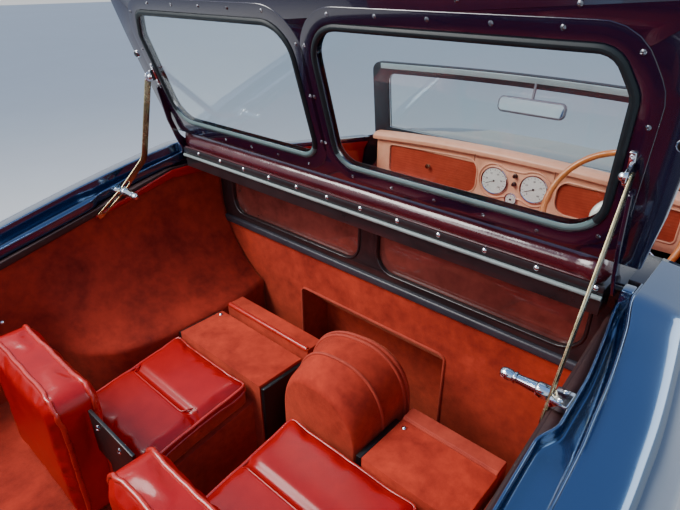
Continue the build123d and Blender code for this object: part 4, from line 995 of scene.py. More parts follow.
def trimRoll():
    # Near the right end the radius grows by one bell curve and falls by the next.
    low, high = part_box("trim_roll")
    x = np.linspace(low.x, high.x, 170) / mm
    fromRight, fromLeft = x[-1] - x, x - x[0]
    radius = roll["radius"] * np.ones_like(x)
    for growth, place, width in (roll["swell"], roll["waist"]):
        radius += growth * np.exp(-((fromRight - place) / width) ** 2)
    radius *= np.sqrt(np.clip(1 - (1 - np.clip(fromRight / roll["endRound"], 0, 1)) ** 2, 0, 1))
    radius += 0.35 * np.sin(x / 37.0) + 0.25 * np.sin(x / 13.0 + 1)
    radius = np.maximum(radius, 0.2)
    flare = np.exp(-(fromLeft / roll["flare"]) ** 2)
    turn = fullTurn(40)[None, :]
    lift = np.clip(np.sin(turn), 0, 1)
    reach = radius[:, None] * (1 + 0.55 * flare[:, None] * lift ** 2)
    y = roll["y"] + reach * np.cos(turn) * (1 - 0.45 * flare[:, None])
    z = roll["z"] + reach * np.sin(turn)
    grid = np.stack([np.broadcast_to(x[:, None], y.shape), y, z], -1)
    return loftMesh("trimRoll", grid * mm, rollHide)


settle(trimRoll(), "maroon_roll", "trim_roll")
rollSeam = acrossX(*roll["seam"], 60, (roll["y"] - roll["seamBack"]) * mm,
                   (roll["z"] - roll["seamDown"]) * mm)
settle(tube("rollWelt", rollSeam, 0.0022, rollHide, (0, 0, 1), False, 8), "maroon_roll")

standUp = Matrix.Rotation(math.radians(90), 4, "X")
studs = {"pitch": 90.5, "first": -471.5, "count": 12, "z": 852.0, "radius": 4.6, "height": 3.2}
studPlaces = [np.array(Matrix.Translation(((studs["first"] + k * studs["pitch"]) * mm, 0, studs["z"] * mm))
                       @ standUp) for k in range(studs["count"])]
studGrid = screwGrid(studs["radius"] * mm, studs["height"] * mm, 0.0)
settle(copies("trimStuds", studGrid, studPlaces, chrome), "chrome")
print("roll and studs made")

# Partition: a rubber bead round each recessed pane and along the lower edge
recess = {"x": (28, 500), "grow": 2.0, "corner": 46, "bead": 0.0034, "edgeX": 0.552, "edgeUp": 0.008}
paneLow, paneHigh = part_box("partition_panes")
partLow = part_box("partition_frame")[0]
beadPath = rectangle(recess["x"][0] - recess["grow"], paneLow.z / mm - recess["grow"],
                     recess["x"][1] + recess["grow"], paneHigh.z / mm + recess["grow"],
                     recess["corner"] + recess["grow"], 10)
beadPath = atY(evenly(beadPath, 160, True) * mm, partLow.y)
paneBead = tube("recessBead.right", beadPath, recess["bead"], darkTrim, (0, 1, 0), True, 10)
bothSides(paneBead, "dark_trim")
lowerEdge = acrossX(-recess["edgeX"], recess["edgeX"], 40, partLow.y, partLow.z + recess["edgeUp"])
edgeSection = rectangle(-8, -11, 8, 11, 7, 6) * mm
settle(loftMesh("partitionEdge", alongPath(lowerEdge, edgeSection), edgeRubber), "grey_rubber")

# Toe recess binding: up one side, across and down the other
toe = {"half": 230, "top": 497, "y": 119.2, "foot": 74}
toePath = rounded([(-toe["half"], toe["foot"]), (-toe["half"], toe["top"]), (toe["half"], toe["top"]),
                   (toe["half"], toe["foot"])], 14, 7, False)
toePath = atY(evenly(toePath, 120), toe["y"]) * mm
settle(tube("toeBinding", toePath, 0.0032, suedeEdge, (0, 1, 0), False, 8), "suede_carpet")

# Side covers: y, x of the left cover's foot, x of the right cover's foot; then height and share of the bulge
coverTable = [(117.7, 391, 486), (0, 363, 474), (-68, 361, 473), (-200, 361, 473), (-320, 383, 481),
              (-400, 447, 505), (-450, 533, 539), (-600, 547, 547), (-750, 533, 533), (-900, 503, 503),
              (-1000, 463, 463)]
bulgeTable = [(810, 0.0), (680, 0.0), (630, 0.06), (570, 0.24), (508, 0.54), (470, 0.82), (452, 1.0),
              (60, 1.0)]
cover = {"front": 117.7, "rear": -1000, "edge": 555, "gap": 3, "head": 806, "foot": 72.2, "pile": 0.0055}


def coverEdge(y):
    # Half-width of a cover's top edge: just inside the gutter's inner lip.
    return np.minimum(cover["edge"], smoothTable(rimTable, y)[:, 1] - cover["gap"])


def coverTop(y):
    return np.minimum(rimHeight(y) - rim["depth"], cover["head"])


def sideCover(column, name):
    # Width at a height: the edge's, less the bulge at that y times its share at that height.
    y = np.linspace(cover["rear"], cover["front"], 120)
    foot = smoothTable([(row[0], row[column]) for row in coverTable], y)[:, 0]
    edge, top = coverEdge(y), coverTop(y) - 0.3
    v = np.linspace(0, 1, 80)[None, :]
    z = top[:, None] + (cover["foot"] - top[:, None]) * v
    share = smoothTable(bulgeTable, z.ravel())[:, 0].reshape(z.shape)
    x = edge[:, None] - (edge - foot)[:, None] * share
    ripple = 1.6 * np.sin(y[:, None] / 61 + z / 47) * np.sin(z / 83 + 0.7) * np.clip((700 - z) / 100, 0, 1)
    x = x + ripple * np.clip((cover["edge"] - x) / 60, 0, 1)
    grid = np.stack([x, np.broadcast_to(y[:, None], z.shape), z], -1) * mm
    # The covers take the darker suede copy, a painted shade below the rim.
    return sheetMesh(name, grid, suedePaintedShade, (-1, 0, 0.2), cover["pile"])


leftCover = sideCover(1, "coverShape")
coverLeft = mirrored(leftCover, "sideCover.left")
bpy.data.objects.remove(leftCover)
settle(coverLeft, "suede_carpet", "arch_cover_left")
settle(sideCover(2, "sideCover.right"), "suede_carpet", "arch_cover_right")

# Dark bound edge and strip along both covers' top edges, their near-black colour a painted shadow under the
# gutter lip; on the left a red welt widens forwards below them
lipBand = {"rear": -990, "front": 112, "drop": 7.5, "redFrom": -260, "redTo": 104, "redHeight": 30,
           "redWidth": 6, "capWidth": 6}


def lipLine(y, inset, drop):
    # A line at a height below the cover's top edge, set in from it.
    return np.stack([coverEdge(y) - inset, y, coverTop(y) - drop], -1) * mm


lipY = np.linspace(lipBand["rear"], lipBand["front"], 120)
bandProfile = rounded([(-3, -8), (3, -8), (3.4, 8), (-3, 8)], 2.6, 5) * mm
lipPath = lipLine(lipY, 2.5, lipBand["drop"])
bothSides(loftMesh("coverBinding.right", alongPath(lipPath, bandProfile), lipHidePaintedShadow), "red_leather")
capOuter = np.stack([smoothTable(rimTable, lipY)[:, 1] - 0.4, lipY, coverTop(lipY) + 0.6], -1) * mm
capGrid = np.stack([lipLine(lipY, lipBand["capWidth"], -0.6), capOuter], 1)
bothSides(sheetMesh("coverCap.right", capGrid, lipHidePaintedShadow, (0, 0, 1), 0.0012), "red_leather")
redY = np.linspace(lipBand["redFrom"], lipBand["redTo"], 80)
redShare = np.linspace(0.12, 1, 80)[:, None] ** 0.7
redTurn = fullTurn(20)[None, :]
redCentre = lipLine(redY, 6.5, lipBand["drop"] + 8) * [-1, 1, 1]
redHalf = np.array([lipBand["redWidth"], lipBand["redHeight"]]) / 2 * mm
redGrid = np.stack([redCentre[:, :1] + redHalf[0] * np.cos(redTurn), redCentre[:, 1:2] + 0 * redTurn,
                    redCentre[:, 2:] + redHalf[1] * redShare * np.sin(redTurn)], -1)
settle(loftMesh("coverWelt.left", redGrid, leather), "red_leather")
print("covers made")

# Transmission hump: a squarish arch in section whose front edge runs askew, rounded off towards both ends
hump = {"x": 112, "half": 121, "base": 440, "foot": 72.3, "power": 0.83, "front": -30, "rear": -194,
        "ease": 20, "narrow": 9, "sink": 15, "wall": 0.2}
# y on the centre line, how far y grows per unit of x, top height, half width left of the line
humpTable = [(-194, 0.0, 556, 84), (-110, 0.16, 583, 92), (-30, 0.20, 587, 121)]


def humpPoint(y, v):
    # v runs over the section from one foot (0) to the other (1); the walls take the first and last fifth.
    slant, top, leftHalf = smoothTable(humpTable, y).T[..., None]
    y, v, wall = y[:, None], v[None, :], hump["wall"]
    nearEnd = np.minimum(hump["front"] - y, y - hump["rear"])
    inset = 1 - np.sqrt(np.clip(1 - (1 - np.clip(nearEnd / hump["ease"], 0, 1)) ** 2, 0, 1))
    half, leftHalf = hump["half"] - hump["narrow"] * inset, leftHalf - hump["narrow"] * inset
    rise = top - hump["base"] - hump["sink"] * inset
    turn = math.pi * (1 - np.clip((v - wall) / (1 - 2 * wall), 0, 1))
    x = np.where(np.cos(turn) < 0, -leftHalf, half) * np.abs(np.cos(turn)) ** hump["power"]
    z = hump["base"] + rise * np.abs(np.sin(turn)) ** hump["power"]
    z = hump["foot"] + (z - hump["foot"]) * np.clip(np.minimum(v, 1 - v) / wall, 0, 1)
    return np.stack([hump["x"] + x, y + slant * x, z], -1)


bow = np.linspace(0, math.pi / 2, 12)
humpY = np.concatenate([hump["rear"] + hump["ease"] * (1 - np.cos(bow)), np.linspace(-170, -54, 24),
                        hump["front"] - hump["ease"] * (1 - np.sin(bow))])
humpMesh = loftMesh("humpCover", humpPoint(humpY, np.linspace(0, 1, 110)) * mm, suede, False, 50)
settle(humpMesh, "suede_carpet", "hump_cover")
for name, at in (("humpWelt.front", -47), ("humpWelt.inner", -59), ("humpWelt.rear", -128)):
    arc = humpPoint(np.array([float(at)]), np.linspace(0.02, 0.98, 140))[0] + [0, 0, 1.2]
    welt = tube(name, evenly(arc, 120) * mm, 0.0034, suedeEdge, (0, 1, 0), False, 10)
    settle(welt, "suede_carpet")
print("hump made")


# Padded pieces: a remeshed form swollen by cloth pressure, with a cap on how far it moves
padCloth = {"pressure": 4.0, "stiffness": 12, "quality": 4, "frames": 20}


def padForm(name, outline, depth, place, edge, voxel=0.006):
    # An outline given a thickness, its edges rounded, remeshed to even cells.
    piece = plateMesh(name, outline, depth, leather, place, 0)
    easeEdges(piece, edge, 3, 50)
    cells = piece.modifiers.new("cells", "REMESH")
    cells.mode = "VOXEL"
    cells.voxel_size = voxel
    mesh = evaluatedMesh(piece)
    piece.modifiers.clear()
    piece.data = mesh
    onlyMaterial(mesh, leather)
    shade(piece, 180)
    return piece


def swell(piece, cap):
    rest = pointsOf(piece)
    cloth = piece.modifiers.new("swell", "CLOTH")
    cloth.settings.use_pressure = True
    cloth.settings.uniform_pressure_force = padCloth["pressure"]
    cloth.settings.effector_weights.gravity = 0
    cloth.settings.quality = padCloth["quality"]
    cloth.settings.tension_stiffness = cloth.settings.compression_stiffness = padCloth["stiffness"]
    cloth.point_cache.frame_start, cloth.point_cache.frame_end = 1, padCloth["frames"]
    for number in range(1, padCloth["frames"] + 1):
        scene.frame_set(number)
    moved = pointsOf(piece.evaluated_get(bpy.context.evaluated_depsgraph_get()))
    piece.modifiers.clear()
    scene.frame_set(1)
    step = moved - rest
    length = np.linalg.norm(step, axis=1, keepdims=True)
    setPoints(piece, rest + step * np.minimum(1, cap / np.maximum(length, 1e-9)))


def groove(piece, distance, width, depth, centre):
    # Points near a seam sink towards the pad's centre by a bell curve of their distance from it.
    points = pointsOf(piece)
    fall = depth * np.exp(-(distance(points) / width) ** 2)
    setPoints(piece, points + unit(centre - points) * fall[:, None])


def ontoSurface(piece, path, lift=0.0):
    # The nearest point of the pad to each point of a path, raised a little.
    bpy.context.view_layer.update()
    tree = BVHTree.FromObject(piece, bpy.context.evaluated_depsgraph_get())
    found = [tree.find_nearest(Vector(p)) for p in path]
    return np.array([list(near + normal * lift) for near, normal, _, _ in found])


def smoothLine(path, rounds, closed=True):
    for _ in range(rounds):
        middle = (np.roll(path, 1, 0) + np.roll(path, -1, 0)) / 2
        if not closed:
            middle[0], middle[-1] = path[0], path[-1]
        path = (path + middle) / 2
    return path


def finishPad(piece, fill, *stoodFor):
    finer = piece.modifiers.new("finer", "SUBSURF")
    finer.levels = finer.render_levels = 1
    settle(piece, "red_leather", *stoodFor)


seat = {"inset": 0.004, "depth": 0.064, "cap": 0.009, "base": 0.396, "slope": 42 / 290, "seamY": -0.340,
        "piping": 0.0036, "leatherDepth": 0.019, "lowerFlare": 0.08, "corner": 0.012}


def seatCushion(side):
    # A flat squab, laid at the seat's slope, with a cross seam and a piped top edge; its lower side is suede.
    low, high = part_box(f"cushion_{side}")
    x0, x1 = low.x + seat["inset"], high.x - seat["inset"]
    y0, y1 = low.y + seat["inset"], high.y - seat["inset"]
    depth, leatherFoot = seat["depth"], seat["depth"] - seat["leatherDepth"]
    piece = padForm(f"seatCushion.{side}", rectangle(x0, y0, x1, y1, seat["corner"]), depth,
                    Matrix.Translation((0, 0, depth / 2)), seat["corner"])
    swell(piece, seat["cap"])
    middle = [(x0 + x1) / 2, (y0 + y1) / 2]
    groove(piece, lambda p: np.where(p[:, 2] > 0.03, np.abs(p[:, 1] - seat["seamY"]), 1), 0.007, 0.0075,
           np.array([*middle, -0.3]))
    out = 0.004
    border = evenly(rectangle(x0 - out, y0 - out, x1 + out, y1 + out, 0.016, 9), 260, True)
    upper = np.concatenate([border, np.full((260, 1), depth)], 1)
    flared = border + (border - middle) * seat["lowerFlare"]
    lower = np.concatenate([flared, np.full((260, 1), leatherFoot)], 1)
    line = smoothLine(ontoSurface(piece, upper), 4)
    lowerLine = smoothLine(ontoSurface(piece, lower), 3)
    piece.data.materials.append(suede)
    faceHeights = np.array([face.center.z for face in piece.data.polygons])
    piece.data.polygons.foreach_set("material_index", (faceHeights < leatherFoot).astype(np.int32))
    seam = smoothLine(ontoSurface(piece, acrossX(x0 + 0.004, x1 - 0.004, 60, seat["seamY"], 0.1)), 2, False)
    body = pointsOf(piece)
    body[:, 2] = np.clip(body[:, 2], 0.0005, None)
    for points in (body, line, lowerLine, seam):
        points[:, 2] += (points[:, 1] - high.y) * seat["slope"] + seat["base"]
    setPoints(piece, body)
    finishPad(piece, 0.7, f"cushion_{side}")
    settle(tube(f"cushionPiping.{side}", line, seat["piping"], leatherPiping, (0, 0, 1), True, 10),
           "red_leather")
    settle(tube(f"cushionWelt.{side}", lowerLine, seat["piping"] * 0.8, leatherPiping, (0, 0, 1), True, 10),
           "red_leather")
    settle(tube(f"cushionSeam.{side}", seam - [0, 0, 0.0006], 0.0018, leather, (0, 0, 1), False, 8),
           "red_leather")


backrest = {"inset": 0.005, "foot": 0.003, "corner": 0.042, "footCorner": 0.008, "thin": 0.012, "cap": 0.010,
            "edge": 0.012, "piping": 0.0044, "pipingOut": 0.012}


def backrestPad():
    # An upright squab with round top corners, piped on both faces; the left one is its mirror image.
    low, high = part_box("backrest_right")
    corner, footCorner = backrest["corner"], backrest["footCorner"]
    x0, x1 = low.x + backrest["inset"], high.x - backrest["inset"]
    z0, z1 = low.z + backrest["foot"], high.z - backrest["inset"]
    depth, middleY = high.y - low.y - backrest["thin"], (low.y + high.y) / 2
    upright = Matrix(((1, 0, 0, 0), (0, 0, -1, middleY), (0, 1, 0, 0), (0, 0, 0, 1)))
    outline = rectangle(x0, z0, x1, z1, [footCorner, footCorner, corner, corner], 8)
    piece = padForm("backrestPad.right", outline, depth, upright, backrest["edge"])
    swell(piece, backrest["cap"])
    centre = np.array([(x0 + x1) / 2, middleY, (z0 + z1) / 2])
    points = pointsOf(piece)
    points[:, 2] = np.clip(points[:, 2], low.z + 0.0005, None)
    setPoints(piece, points)
    route = rounded([(x0, z0 + 0.01), (x0, z1), (x1, z1), (x1, z0 + 0.01)],
                    [0, corner + 0.004, corner + 0.004, 0], 10, False)
    pipes = []
    for name, side in (("front", 1), ("rear", -1)):
        path = atY(evenly(route, 220), middleY + side * (depth / 2 - 0.002))
        path = path + unit(path - centre) * backrest["pipingOut"]
        near = smoothLine(ontoSurface(piece, path, 0.0006), 3, False)
        pipes.append(tube(f"backrestPiping.{name}.right", near, backrest["piping"], leatherPiping,
                          (0, 1, 0), False, 10))
    left = mirrored(piece, "backrestPad.left")
    finishPad(piece, 0.8, "backrest_right")
    finishPad(left, 0.8, "backrest_left")
    for pipe in pipes:
        bothSides(pipe, "red_leather")


for side in ("left", "right"):
    seatCushion(side)
backrestPad()
print("dickey cushions made")

# The driver's bench: a squab and a leaning back with stitched flutes, each side its own pad
bench = {"middle": 0.006, "y": (0.250, 0.728), "foot": 0.250, "thin": 0.014, "cell": 0.009, "edge": 0.02,
         "flutes": 6, "fluteEdge": 0.09, "baseIn": 0.03, "baseY": (0.300, 0.700), "baseFoot": 0.0725,
         "backFoot": (0, 0.278, 0.402), "backLength": 0.365, "backDepth": 0.062, "backRun": 0.078,
         "backRise": 0.362, "backSewn": (0.45, 0.70)}


def flutedPad(name, outline, depth, place, cap, field, centre, node):
    # field says which points lie where the seams are sewn.
    piece = padForm(f"{name}.right", outline, depth, place, bench["edge"], bench["cell"])
    swell(piece, cap)
    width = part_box(node)[1].x
    flutes = np.linspace(bench["fluteEdge"], width - bench["fluteEdge"], bench["flutes"])
    groove(piece, lambda p: np.where(field(p), np.abs(p[:, :1] - flutes).min(1), 1), 0.010, 0.006,
           np.array([width / 2, *centre]))
    other = mirrored(piece, f"{name}.left")
    finishPad(piece, 0.7, node)
    finishPad(other, 0.7)


def benchPads():
    low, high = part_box("bench_cushion")
    (y0, y1), foot, inner = bench["y"], bench["foot"], bench["middle"]
    depth = high.z - foot - bench["thin"]
    flutedPad("benchSquab", rectangle(inner, y0, high.x - inner, y1, 0.03, 6), depth,
              Matrix.Translation((0, 0, foot + depth / 2)), 0.012,
              lambda p: (p[:, 2] > high.z - 0.06) & (p[:, 1] > y0 + 0.03) & (p[:, 1] < y1 - 0.06),
              ((y0 + y1) / 2, foot - 0.4), "bench_cushion")
    base = roundedBox("benchBase", (low.x + bench["baseIn"], bench["baseY"][0], bench["baseFoot"]),
                      (high.x - bench["baseIn"], bench["baseY"][1], foot), 0.004, blackPaint)
    settle(base, "chassis_paint")
    lean = math.atan2(bench["backRun"], bench["backRise"])
    turn = Matrix(((1, 0, 0, 0), (0, -math.sin(lean), -math.cos(lean), 0),
                   (0, math.cos(lean), -math.sin(lean), 0), (0, 0, 0, 1)))
    outline = rectangle(inner, 0.004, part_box("bench_back")[1].x - inner, bench["backLength"],
                        [0.01, 0.02, 0.06, 0.02], 7)
    flutedPad("benchBack", outline, bench["backDepth"], Matrix.Translation(bench["backFoot"]) @ turn, 0.010,
              lambda p: (p[:, 2] > bench["backSewn"][0]) & (p[:, 2] < bench["backSewn"][1]), (-0.4, 0.56),
              "bench_back")


benchPads()
print("bench made")

# Small trim in the dickey: ledges, bound edges, studs and screws
ledge = {"x": (-0.341, -0.045), "y": -0.046, "z": 0.470, "roll": 0.0062}
band = {"x": (0.252, 0.460), "y": -0.049, "z": 0.4615, "weltY": -0.0185}
rollPath = acrossX(*ledge["x"], 30, ledge["y"], ledge["z"])
settle(tube("ledgeRoll", rollPath, ledge["roll"], leatherPiping, (0, 0, 1), False, 12), "red_leather")
bandPath = acrossX(*band["x"], 40, band["y"], band["z"])
bandShape = rectangle(-17.5, -3, 17.5, 5, 3.6, 6) * mm
settle(loftMesh("boundLedge", alongPath(bandPath, bandShape), suedeEdge), "suede_carpet")
settle(tube("ledgeWelt", bandPath + [0, band["weltY"], 0.0006], 0.0024, suedeEdge, (0, 0, 1), False, 8),
       "suede_carpet")
domes = [((-0.333, -0.084, 0.460), (0, 0, 1)), ((0.268, -0.086, 0.460), (0, 0, 1)),
         ((-0.548, -0.520, 0.560), (1, 0, 0)), ((0.548, -0.520, 0.560), (-1, 0, 0))]
domePlaces = [np.array(Matrix.Translation(spot)
                       @ Vector((0, 0, 1)).rotation_difference(Vector(facing)).to_matrix().to_4x4())
              for spot, facing in domes]
settle(copies("trimDomes", screwGrid(5.5 * mm, 4.2 * mm, 0.0), domePlaces, chrome), "chrome")
plate = {"x": (-0.045, 0.028), "y": -0.536, "z": 0.591}
plateScrews = [np.array(Matrix.Translation((x, plate["y"], plate["z"])) @ standUp) for x in plate["x"]]
settle(copies("plateScrews", screwGrid(6 * mm, 3.6 * mm), plateScrews, chrome), "chrome")
print("dickey trim made")

# Dash: glovebox lids, dials and knob
dash = {"half": 0.580, "top": 0.700, "rise": 0.026, "padHeight": 0.030, "padEase": 0.03}
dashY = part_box("dash_panel")[0].y
padLow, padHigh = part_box("dash_pad")


def dashPad():
    # A padded roll along the arched head, drawn in a little at both ends; the arch is a circle's.
    x = np.linspace(padLow.x, padHigh.x, 110)
    radius = (dash["half"] ** 2 + dash["rise"] ** 2) / (2 * dash["rise"])
    arched = np.sqrt(radius ** 2 - x ** 2) - (radius - dash["rise"])
    ends = np.clip(np.minimum(x - x[0], x[-1] - x) / dash["padEase"], 0, 1)
    size = np.sqrt(1 - (1 - ends) ** 2) * 0.5 + 0.5
    y0, y1, high = padLow.y, padHigh.y, dash["padHeight"]
    section = rounded([(y0, 0), (y0 - 0.001, 0.016), (y0 + 0.012, high - 0.004), (y1, high), (y1, 0)],
                      [0.003, 0.009, 0.010, 0.004, 0.001], 7)
    foot = np.array([y1, 0.0])
    shaped = foot + (section[None] - foot) * size[:, None, None]
    shaped[..., 1] += dash["top"] + arched[:, None]
    grid = np.concatenate([np.broadcast_to(x[:, None, None], shaped[..., :1].shape), shaped], -1)
    return loftMesh("dashRoll", grid, tanLeather, False, 45)


settle(dashPad(), "tan_leather", "dash_pad")


def dashPlate(name, corners, radii, depth, inset):
    # A thin plate in the dash's plane, its front depth metres behind the panel's face.
    outline = rounded(np.array(corners) * mm, radii, 9)
    outline = outline + unit(outline.mean(0) - outline) * inset
    upright = Matrix(((1, 0, 0, 0), (0, 0, -1, dashY + depth + 0.002), (0, 1, 0, 0), (0, 0, 0, 1)))
    settle(plateMesh(name, outline, 0.004, dashWood, upright, 0.0012), "dash_wood")


def dashWelt(name, corners, radii):
    path = atY(evenly(rounded(np.array(corners) * mm, radii, 9), 160, True), dashY - 0.001)
    settle(tube(name, path, 0.0026, tanLeather, (0, 1, 0), True, 8), "tan_leather")


gloveCorners = [(-500, 580), (-124, 580), (-124, 706), (-500, 690)]
cubbyCorners = [(152, 590), (500, 590), (500, 690), (152, 700)]
gloveRadii = np.array([14, 40, 40, 14]) * mm
cubbyRadii = np.array([40, 14, 14, 40]) * mm
dashPlate("gloveLid", gloveCorners, gloveRadii, 0.004, 0.003)
dashPlate("cubbyBack", cubbyCorners, cubbyRadii, 0.006, 0.002)
dashWelt("gloveWelt", gloveCorners, gloveRadii)
dashWelt("cubbyWelt", cubbyCorners, cubbyRadii)
for name, x, foot in (("dashSeam.left", -0.130, 0.706), ("dashSeam.right", 0.146, 0.704)):
    seamPath = atY(np.stack([np.full(8, x), np.linspace(foot, 0.728, 8)], 1), padLow.y - 0.0006)
    settle(tube(name, seamPath, 0.0016, seamThread, (0, 1, 0), False, 6), "tan_leather")

# Dials: x, z, radius, tick count, largest number, in millimetres
dialTable = [(-57, 648, 48, 21, 100), (81, 650, 47, 17, 80), (10, 598, 22, 9, 0)]
dialSweep = (math.radians(225), math.radians(-45))
needleTurn = math.radians(205)
marks, needles = [], []
faceY = dashY - 4.5 * mm


def dialFrame(x, z, y):
    # Plate coordinates: first to the driver's right, second up, third towards the driver.
    return Matrix(((1, 0, 0, x), (0, 0, -1, y), (0, 1, 0, z), (0, 0, 0, 1)))


def dialBar(place, turn, reach, lift, *size):
    # A unit cube's place and size as a flat bar, its middle at a reach from the dial's centre.
    return np.array(place @ Matrix.Rotation(turn, 4, "Z") @ Matrix.Translation((reach, 0, lift))
                    @ Matrix.Diagonal((*size, 1)))


for number, (x, z, radius, ticks, highest) in enumerate(dialTable):
    centre = (x * mm, dashY, z * mm)
    r = radius * mm
    bezel = np.array([(0, 0), (5.5, 0), (7.0, -1.2), (6.6, -3.4), (4.4, -5.2), (0, -5.2)]) * mm + [0, r]
    settle(turnedRing(f"dialBezel.{number}", bezel, centre, (0, -1, 0), chrome, 48), "chrome",
           *(["dials"] if number == 0 else []))
    disc = np.array([(4.5 * mm, 0), (4.5 * mm, r - 5 * mm), (0.5 * mm, r - 5 * mm), (0.5 * mm, 0)])
    settle(lathe(f"dialFace.{number}", disc, centre, (0, -1, 0), dialWhite, 48), "dial_white")
    face, above = dialFrame(x * mm, z * mm, faceY), dialFrame(x * mm, z * mm, faceY - 1.2 * mm)
    for k, turn in enumerate(np.linspace(*dialSweep, ticks)):
        length, width = (5.5, 1.4) if k % 2 == 0 else (3.2, 0.9)
        length *= min(1, radius / 47 + 0.2) * mm
        marks.append(dialBar(face, turn, r - 8 * mm - length / 2, 0.1 * mm, length, width * mm, 0.5 * mm))
    needles.append(dialBar(above, needleTurn, (r - 14 * mm) / 2 - 3 * mm, 0, r - 12 * mm, 1.3 * mm, 0.6 * mm))
    needles.append(dialBar(above, 0, 0, 0, 6 * mm, 6 * mm, 1.4 * mm))
square = [(-0.5, -0.5), (0.5, -0.5), (0.5, 0.5), (-0.5, 0.5)]
barGrid = np.array([[(*corner, level) for corner in square] for level in (-0.5, 0.5)])
settle(copies("dialMarks", barGrid, marks, blackPaint), "dark_trim")
settle(copies("dialNeedles", barGrid, needles, blackPaint), "dark_trim")


def dialNumbers():
    # Plain numbers round the two large dials, as flat raised figures in one mesh.
    work = bmesh.new()
    for x, z, radius, ticks, highest in dialTable[:2]:
        values = range(0, highest + 1, 20)
        reach = radius - 21
        for value, turn in zip(values, np.linspace(*dialSweep, len(values))):
            text = bpy.data.curves.new("figure", "FONT")
            text.body = str(value)
            text.size = 8.5 * mm
            text.align_x, text.align_y = "CENTER", "CENTER"
            text.extrude = 0.25 * mm
            text.resolution_u = 3
            mesh = curveMesh("figure", text)
            mesh.transform(dialFrame((x + reach * math.cos(turn)) * mm, (z + reach * math.sin(turn)) * mm,
                                     faceY - 0.2 * mm))
            work.from_mesh(mesh)
    joined = bpy.data.meshes.new("dialNumbers")
    work.to_mesh(joined)
    work.free()
    onlyMaterial(joined, blackPaint)
    return faceOut(linked("dialNumbers", joined))


settle(dialNumbers(), "dark_trim")
knobProfile = np.array([(-8, 0), (-8, 5), (4, 4), (6, 8), (9, 9.2), (12, 7.5), (13, 3.5), (13, 0)]) * mm
knobX, knobZ = -320, 641
settle(lathe("gloveKnob", knobProfile, (knobX * mm, dashY, knobZ * mm), (0, -1, 0), stayMetal, 28), "chrome")
switchProfile = np.array([(0.5, 0), (0.5, 8), (5, 7.4), (6, 5.4), (11, 6.2), (13.5, 5), (14, 0)]) * mm
for number, (x, z) in enumerate([(14, 680), (14, 652)]):
    settle(lathe(f"dashSwitch.{number}", switchProfile, (x * mm, dashY, z * mm), (0, -1, 0), blackPaint, 24),
           "dark_trim")


def figureEight(offset):
    # Two circles round the large dials, joined above and below by a flatter run.
    arcs = []
    for (x, z, radius), (start, end) in zip([row[:3] for row in dialTable[:2]], [(52, 308), (-128, 128)]):
        turn = np.radians(np.linspace(start, end, 40))
        arcs.append(np.stack([x + (radius + offset) * np.cos(turn), z + (radius + offset) * np.sin(turn)], 1))
    return np.concatenate(arcs) * mm


eightPath = atY(smoothLine(evenly(figureEight(11), 200, True), 12), dashY - 0.001)
settle(tube("dialSurround", eightPath, 0.0034, tanLeather, (0, 1, 0), True, 10), "tan_leather")
print("dash made")

# Driving mirror: a rounded shell, tilted up, with its glass facing the driver
mirrorAt = {"x": 29, "y": 866, "z": 904, "half": (108, 25), "depth": 14, "tilt": 10, "corner": 18}
mirrorTurn = Matrix.Translation(Vector((mirrorAt["x"], mirrorAt["y"], mirrorAt["z"])) * mm)
mirrorTurn = mirrorTurn @ Matrix.Rotation(math.radians(-mirrorAt["tilt"]), 4, "X") @ standUp


def mirrorOutline(inset):
    halfX, halfZ = (np.array(mirrorAt["half"]) - inset) * mm
    return rectangle(-halfX, -halfZ, halfX, halfZ, (mirrorAt["corner"] - inset) * mm, 9)


settle(plateMesh("mirrorShell", mirrorOutline(0), mirrorAt["depth"] * mm, mirrorShell, mirrorTurn, 0.004),
       "dark_trim", "mirror")
onFace = mirrorTurn @ Matrix.Translation((0, 0, (mirrorAt["depth"] / 2 + 0.1) * mm))
settle(plateMesh("mirrorPane", mirrorOutline(6), 0.001, mirrorGlass, onFace, 0.0003), "mirror_glass")
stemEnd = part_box("mirror")[1].y / mm - 1
stemPath = np.array([(29, 868, 922), (29, 871, 940), (29, 875, 960), (29, stemEnd, 981)]) * mm
settle(tube("mirrorStem", evenly(stemPath, 16), 0.0046, mirrorShell, (1, 0, 0), False, 14), "dark_trim")

# Windscreen head: a pale half-round moulding along the arc of its rear face, its pale colour a painted
# highlight along the frame's top
head = {"foot": (915, 700), "top": 999, "rise": 18, "half": 600, "bend": 300, "end": 560, "rake": 6,
        "depth": 10, "drop": 12, "section": (5, 19)}
rake = math.radians(head["rake"])
upScreen = np.array([0, -math.sin(rake), math.cos(rake)])
offScreen = np.array([0, -math.cos(rake), -math.sin(rake)])
headX = np.linspace(-head["end"], head["end"], 90)
# The head falls straight towards both ends; between them the fall is half the slope times x² over the bend.
headSlope = head["rise"] / head["half"]
sag = headSlope * head["bend"] / 2
fall = np.where(np.abs(headX) < head["bend"], headSlope / 2 * headX ** 2 / head["bend"],
                headSlope * np.abs(headX) - sag)
headUp = (head["top"] - head["foot"][1]) / math.cos(rake) - head["drop"] - sag - fall
headPath = np.array([0, *head["foot"]]) + headX[:, None] * [1, 0, 0] + headUp[:, None] * upScreen
headPath = (headPath + offScreen * (head["depth"] + 0.5)) * mm
halfOut, halfHigh = head["section"][0] / 2, head["section"][1] / 2
headSection = rectangle(-halfOut, -halfHigh, halfOut, halfHigh, 2.2, 6) * mm
settle(loftMesh("screenHeadCap", alongPath(headPath, headSection, tuple(upScreen)), screenCapPaintedHighlight), "chrome")

